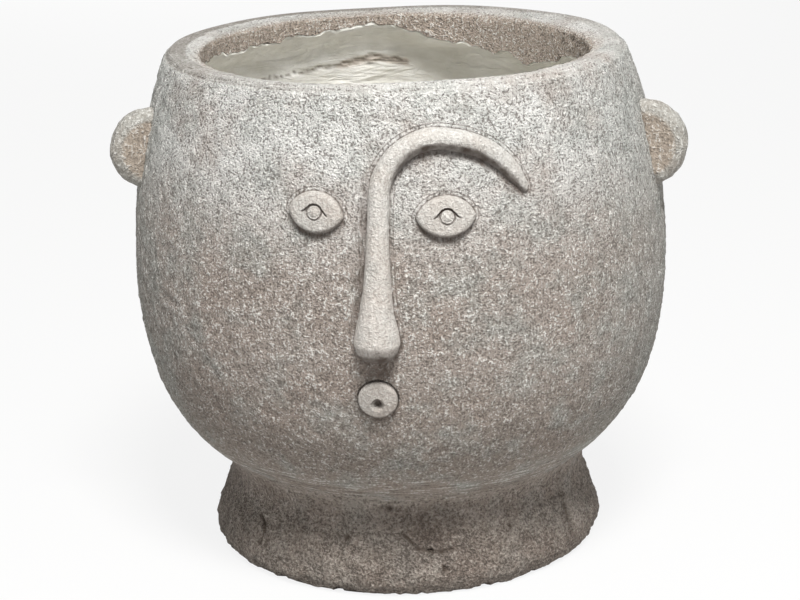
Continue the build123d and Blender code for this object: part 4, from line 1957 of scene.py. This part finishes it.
class Body(Enum):
    """The CAD bodies that pieces ride on."""

    PLANTER = "planter"


# The corners of the CAD's box, which no piece may pass.
FRAME_BOX = ((-0.1445, -0.15178, 0.0), (0.15014, 0.13998, 0.2674))
# The eyes: side, turn in degrees, height over the eye line, tilt in degrees and length.
EYES = (("left", 14.0, -1.8 * MM, -1.0, 29.0 * MM), ("right", -12.0, 0.9 * MM, -8.0, 27.4 * MM))
# The ears: side, turn in degrees, height over the eye line and radius.
EARS = (("left", 80.5, 8.0 * MM, 22.3 * MM), ("right", -73.5, 10.5 * MM, 21.0 * MM))
# The sharpest edge that is shaded smooth, in degrees: on most pieces, and on the small relief.
SOFT, SOFTER = 50.0, 75.0


def finish_piece(
    piece: Piece, finish: bpy.types.Material, nodes: Sequence[str], angle: float = SOFT
) -> None:
    """Gives a piece its material and its place in the frame.

    Args:
        piece: The mesh object.
        finish: Its material.
        nodes: The CAD nodes that it stands for.
        angle: The sharpest edge that is shaded smooth, in degrees.
    """
    sculpt(piece, lambda rows: np.clip(rows, *FRAME_BOX))
    piece.data.materials.clear()
    piece.data.materials.append(finish)
    focus(piece)
    bpy.ops.object.shade_smooth_by_angle(angle=math.radians(angle))
    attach(piece, Body.PLANTER.value)
    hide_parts(*nodes)
    LOG.info("%s: %d vertices", piece.name, len(piece.data.vertices))


def main() -> None:
    """Builds the pieces in order, dresses them and sets up the studio."""
    logging.basicConfig(level=logging.INFO, format="%(name)s %(message)s")
    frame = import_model()
    wall, crook = Wall(), Crook()
    coats = {finish: finish.material() for finish in (BODY, RELIEF, EAR, FOOT, COVE)}
    lens = {"proud": 4.4 * MM, "crown": 46 * MM, "pinch": 0.92, "edge": 2.3 * MM, "spokes": 160}
    bead = {"proud": 5.1 * MM, "crown": 3.6 * MM, "edge": 0.5 * MM, "root": -1.0 * MM, "spokes": 64}
    eyes, beads = [], []
    for side, turn, rise, tilt, length in EYES:
        spot = (wall, turn, crook.eye_line + rise)
        shape = {"reach": (length / 2, 10 * MM), "tilt": tilt, "busy": (2.7 * MM, 4.7 * MM)}
        eyes.append(Eye(f"eye_lens_{side}", *spot, **shape, **lens))
        beads.append(Button(f"eye_bead_{side}", *spot, reach=(2.9 * MM, 2.9 * MM), **bead))
    mouth = Mouth(
        "mouth_button", wall, -0.5, 119.1 * MM, proud=3.6 * MM, crown=50 * MM, reach=(9.5 * MM, 9.5 * MM),
        edge=1.4 * MM, root=1.25 * MM, busy=(0.6 * MM, 6.0 * MM), light=1.5 * MM,
    )
    shell = Bowl(wall, crook, (*eyes, mouth))
    bowl, lining = shell.build(), Lining(shell)
    mouth.cut_bed(bowl)
    finish_piece(bowl, coats[BODY], ["bowl"])
    finish_piece(lining.build(), lining.finish.material(), ["inner_lining"])
    finish_piece(Foot().build(), coats[FOOT], ["foot_ring"])
    finish_piece(Neck().build(), coats[COVE], ["neck_mortar"])
    finish_piece(NoseAndBrow(wall, crook).build(), coats[RELIEF], ["nose_and_brow"])
    for (side, *_), lens_made, bead_made in zip(EYES, eyes, beads):
        finish_piece(lens_made.build(), coats[RELIEF], [f"eye_{side}"], SOFTER)
        finish_piece(bead_made.build(), coats[RELIEF], [f"pupil_{side}"], SOFTER)
    finish_piece(mouth.build(), coats[RELIEF], ["mouth"], SOFTER)
    for side, turn, rise, radius in EARS:
        ear = Ear(f"ear_disc_{side}", wall, turn, crook.eye_line + rise, radius)
        finish_piece(ear.build(), coats[EAR], [f"ear_{side}"])
    plug = frame["nodes"]["drain_plug"]
    plug.data.materials.clear()
    plug.data.materials.append(Rubber().material())
    Studio().build()


if __name__ == "__main__":
    main()
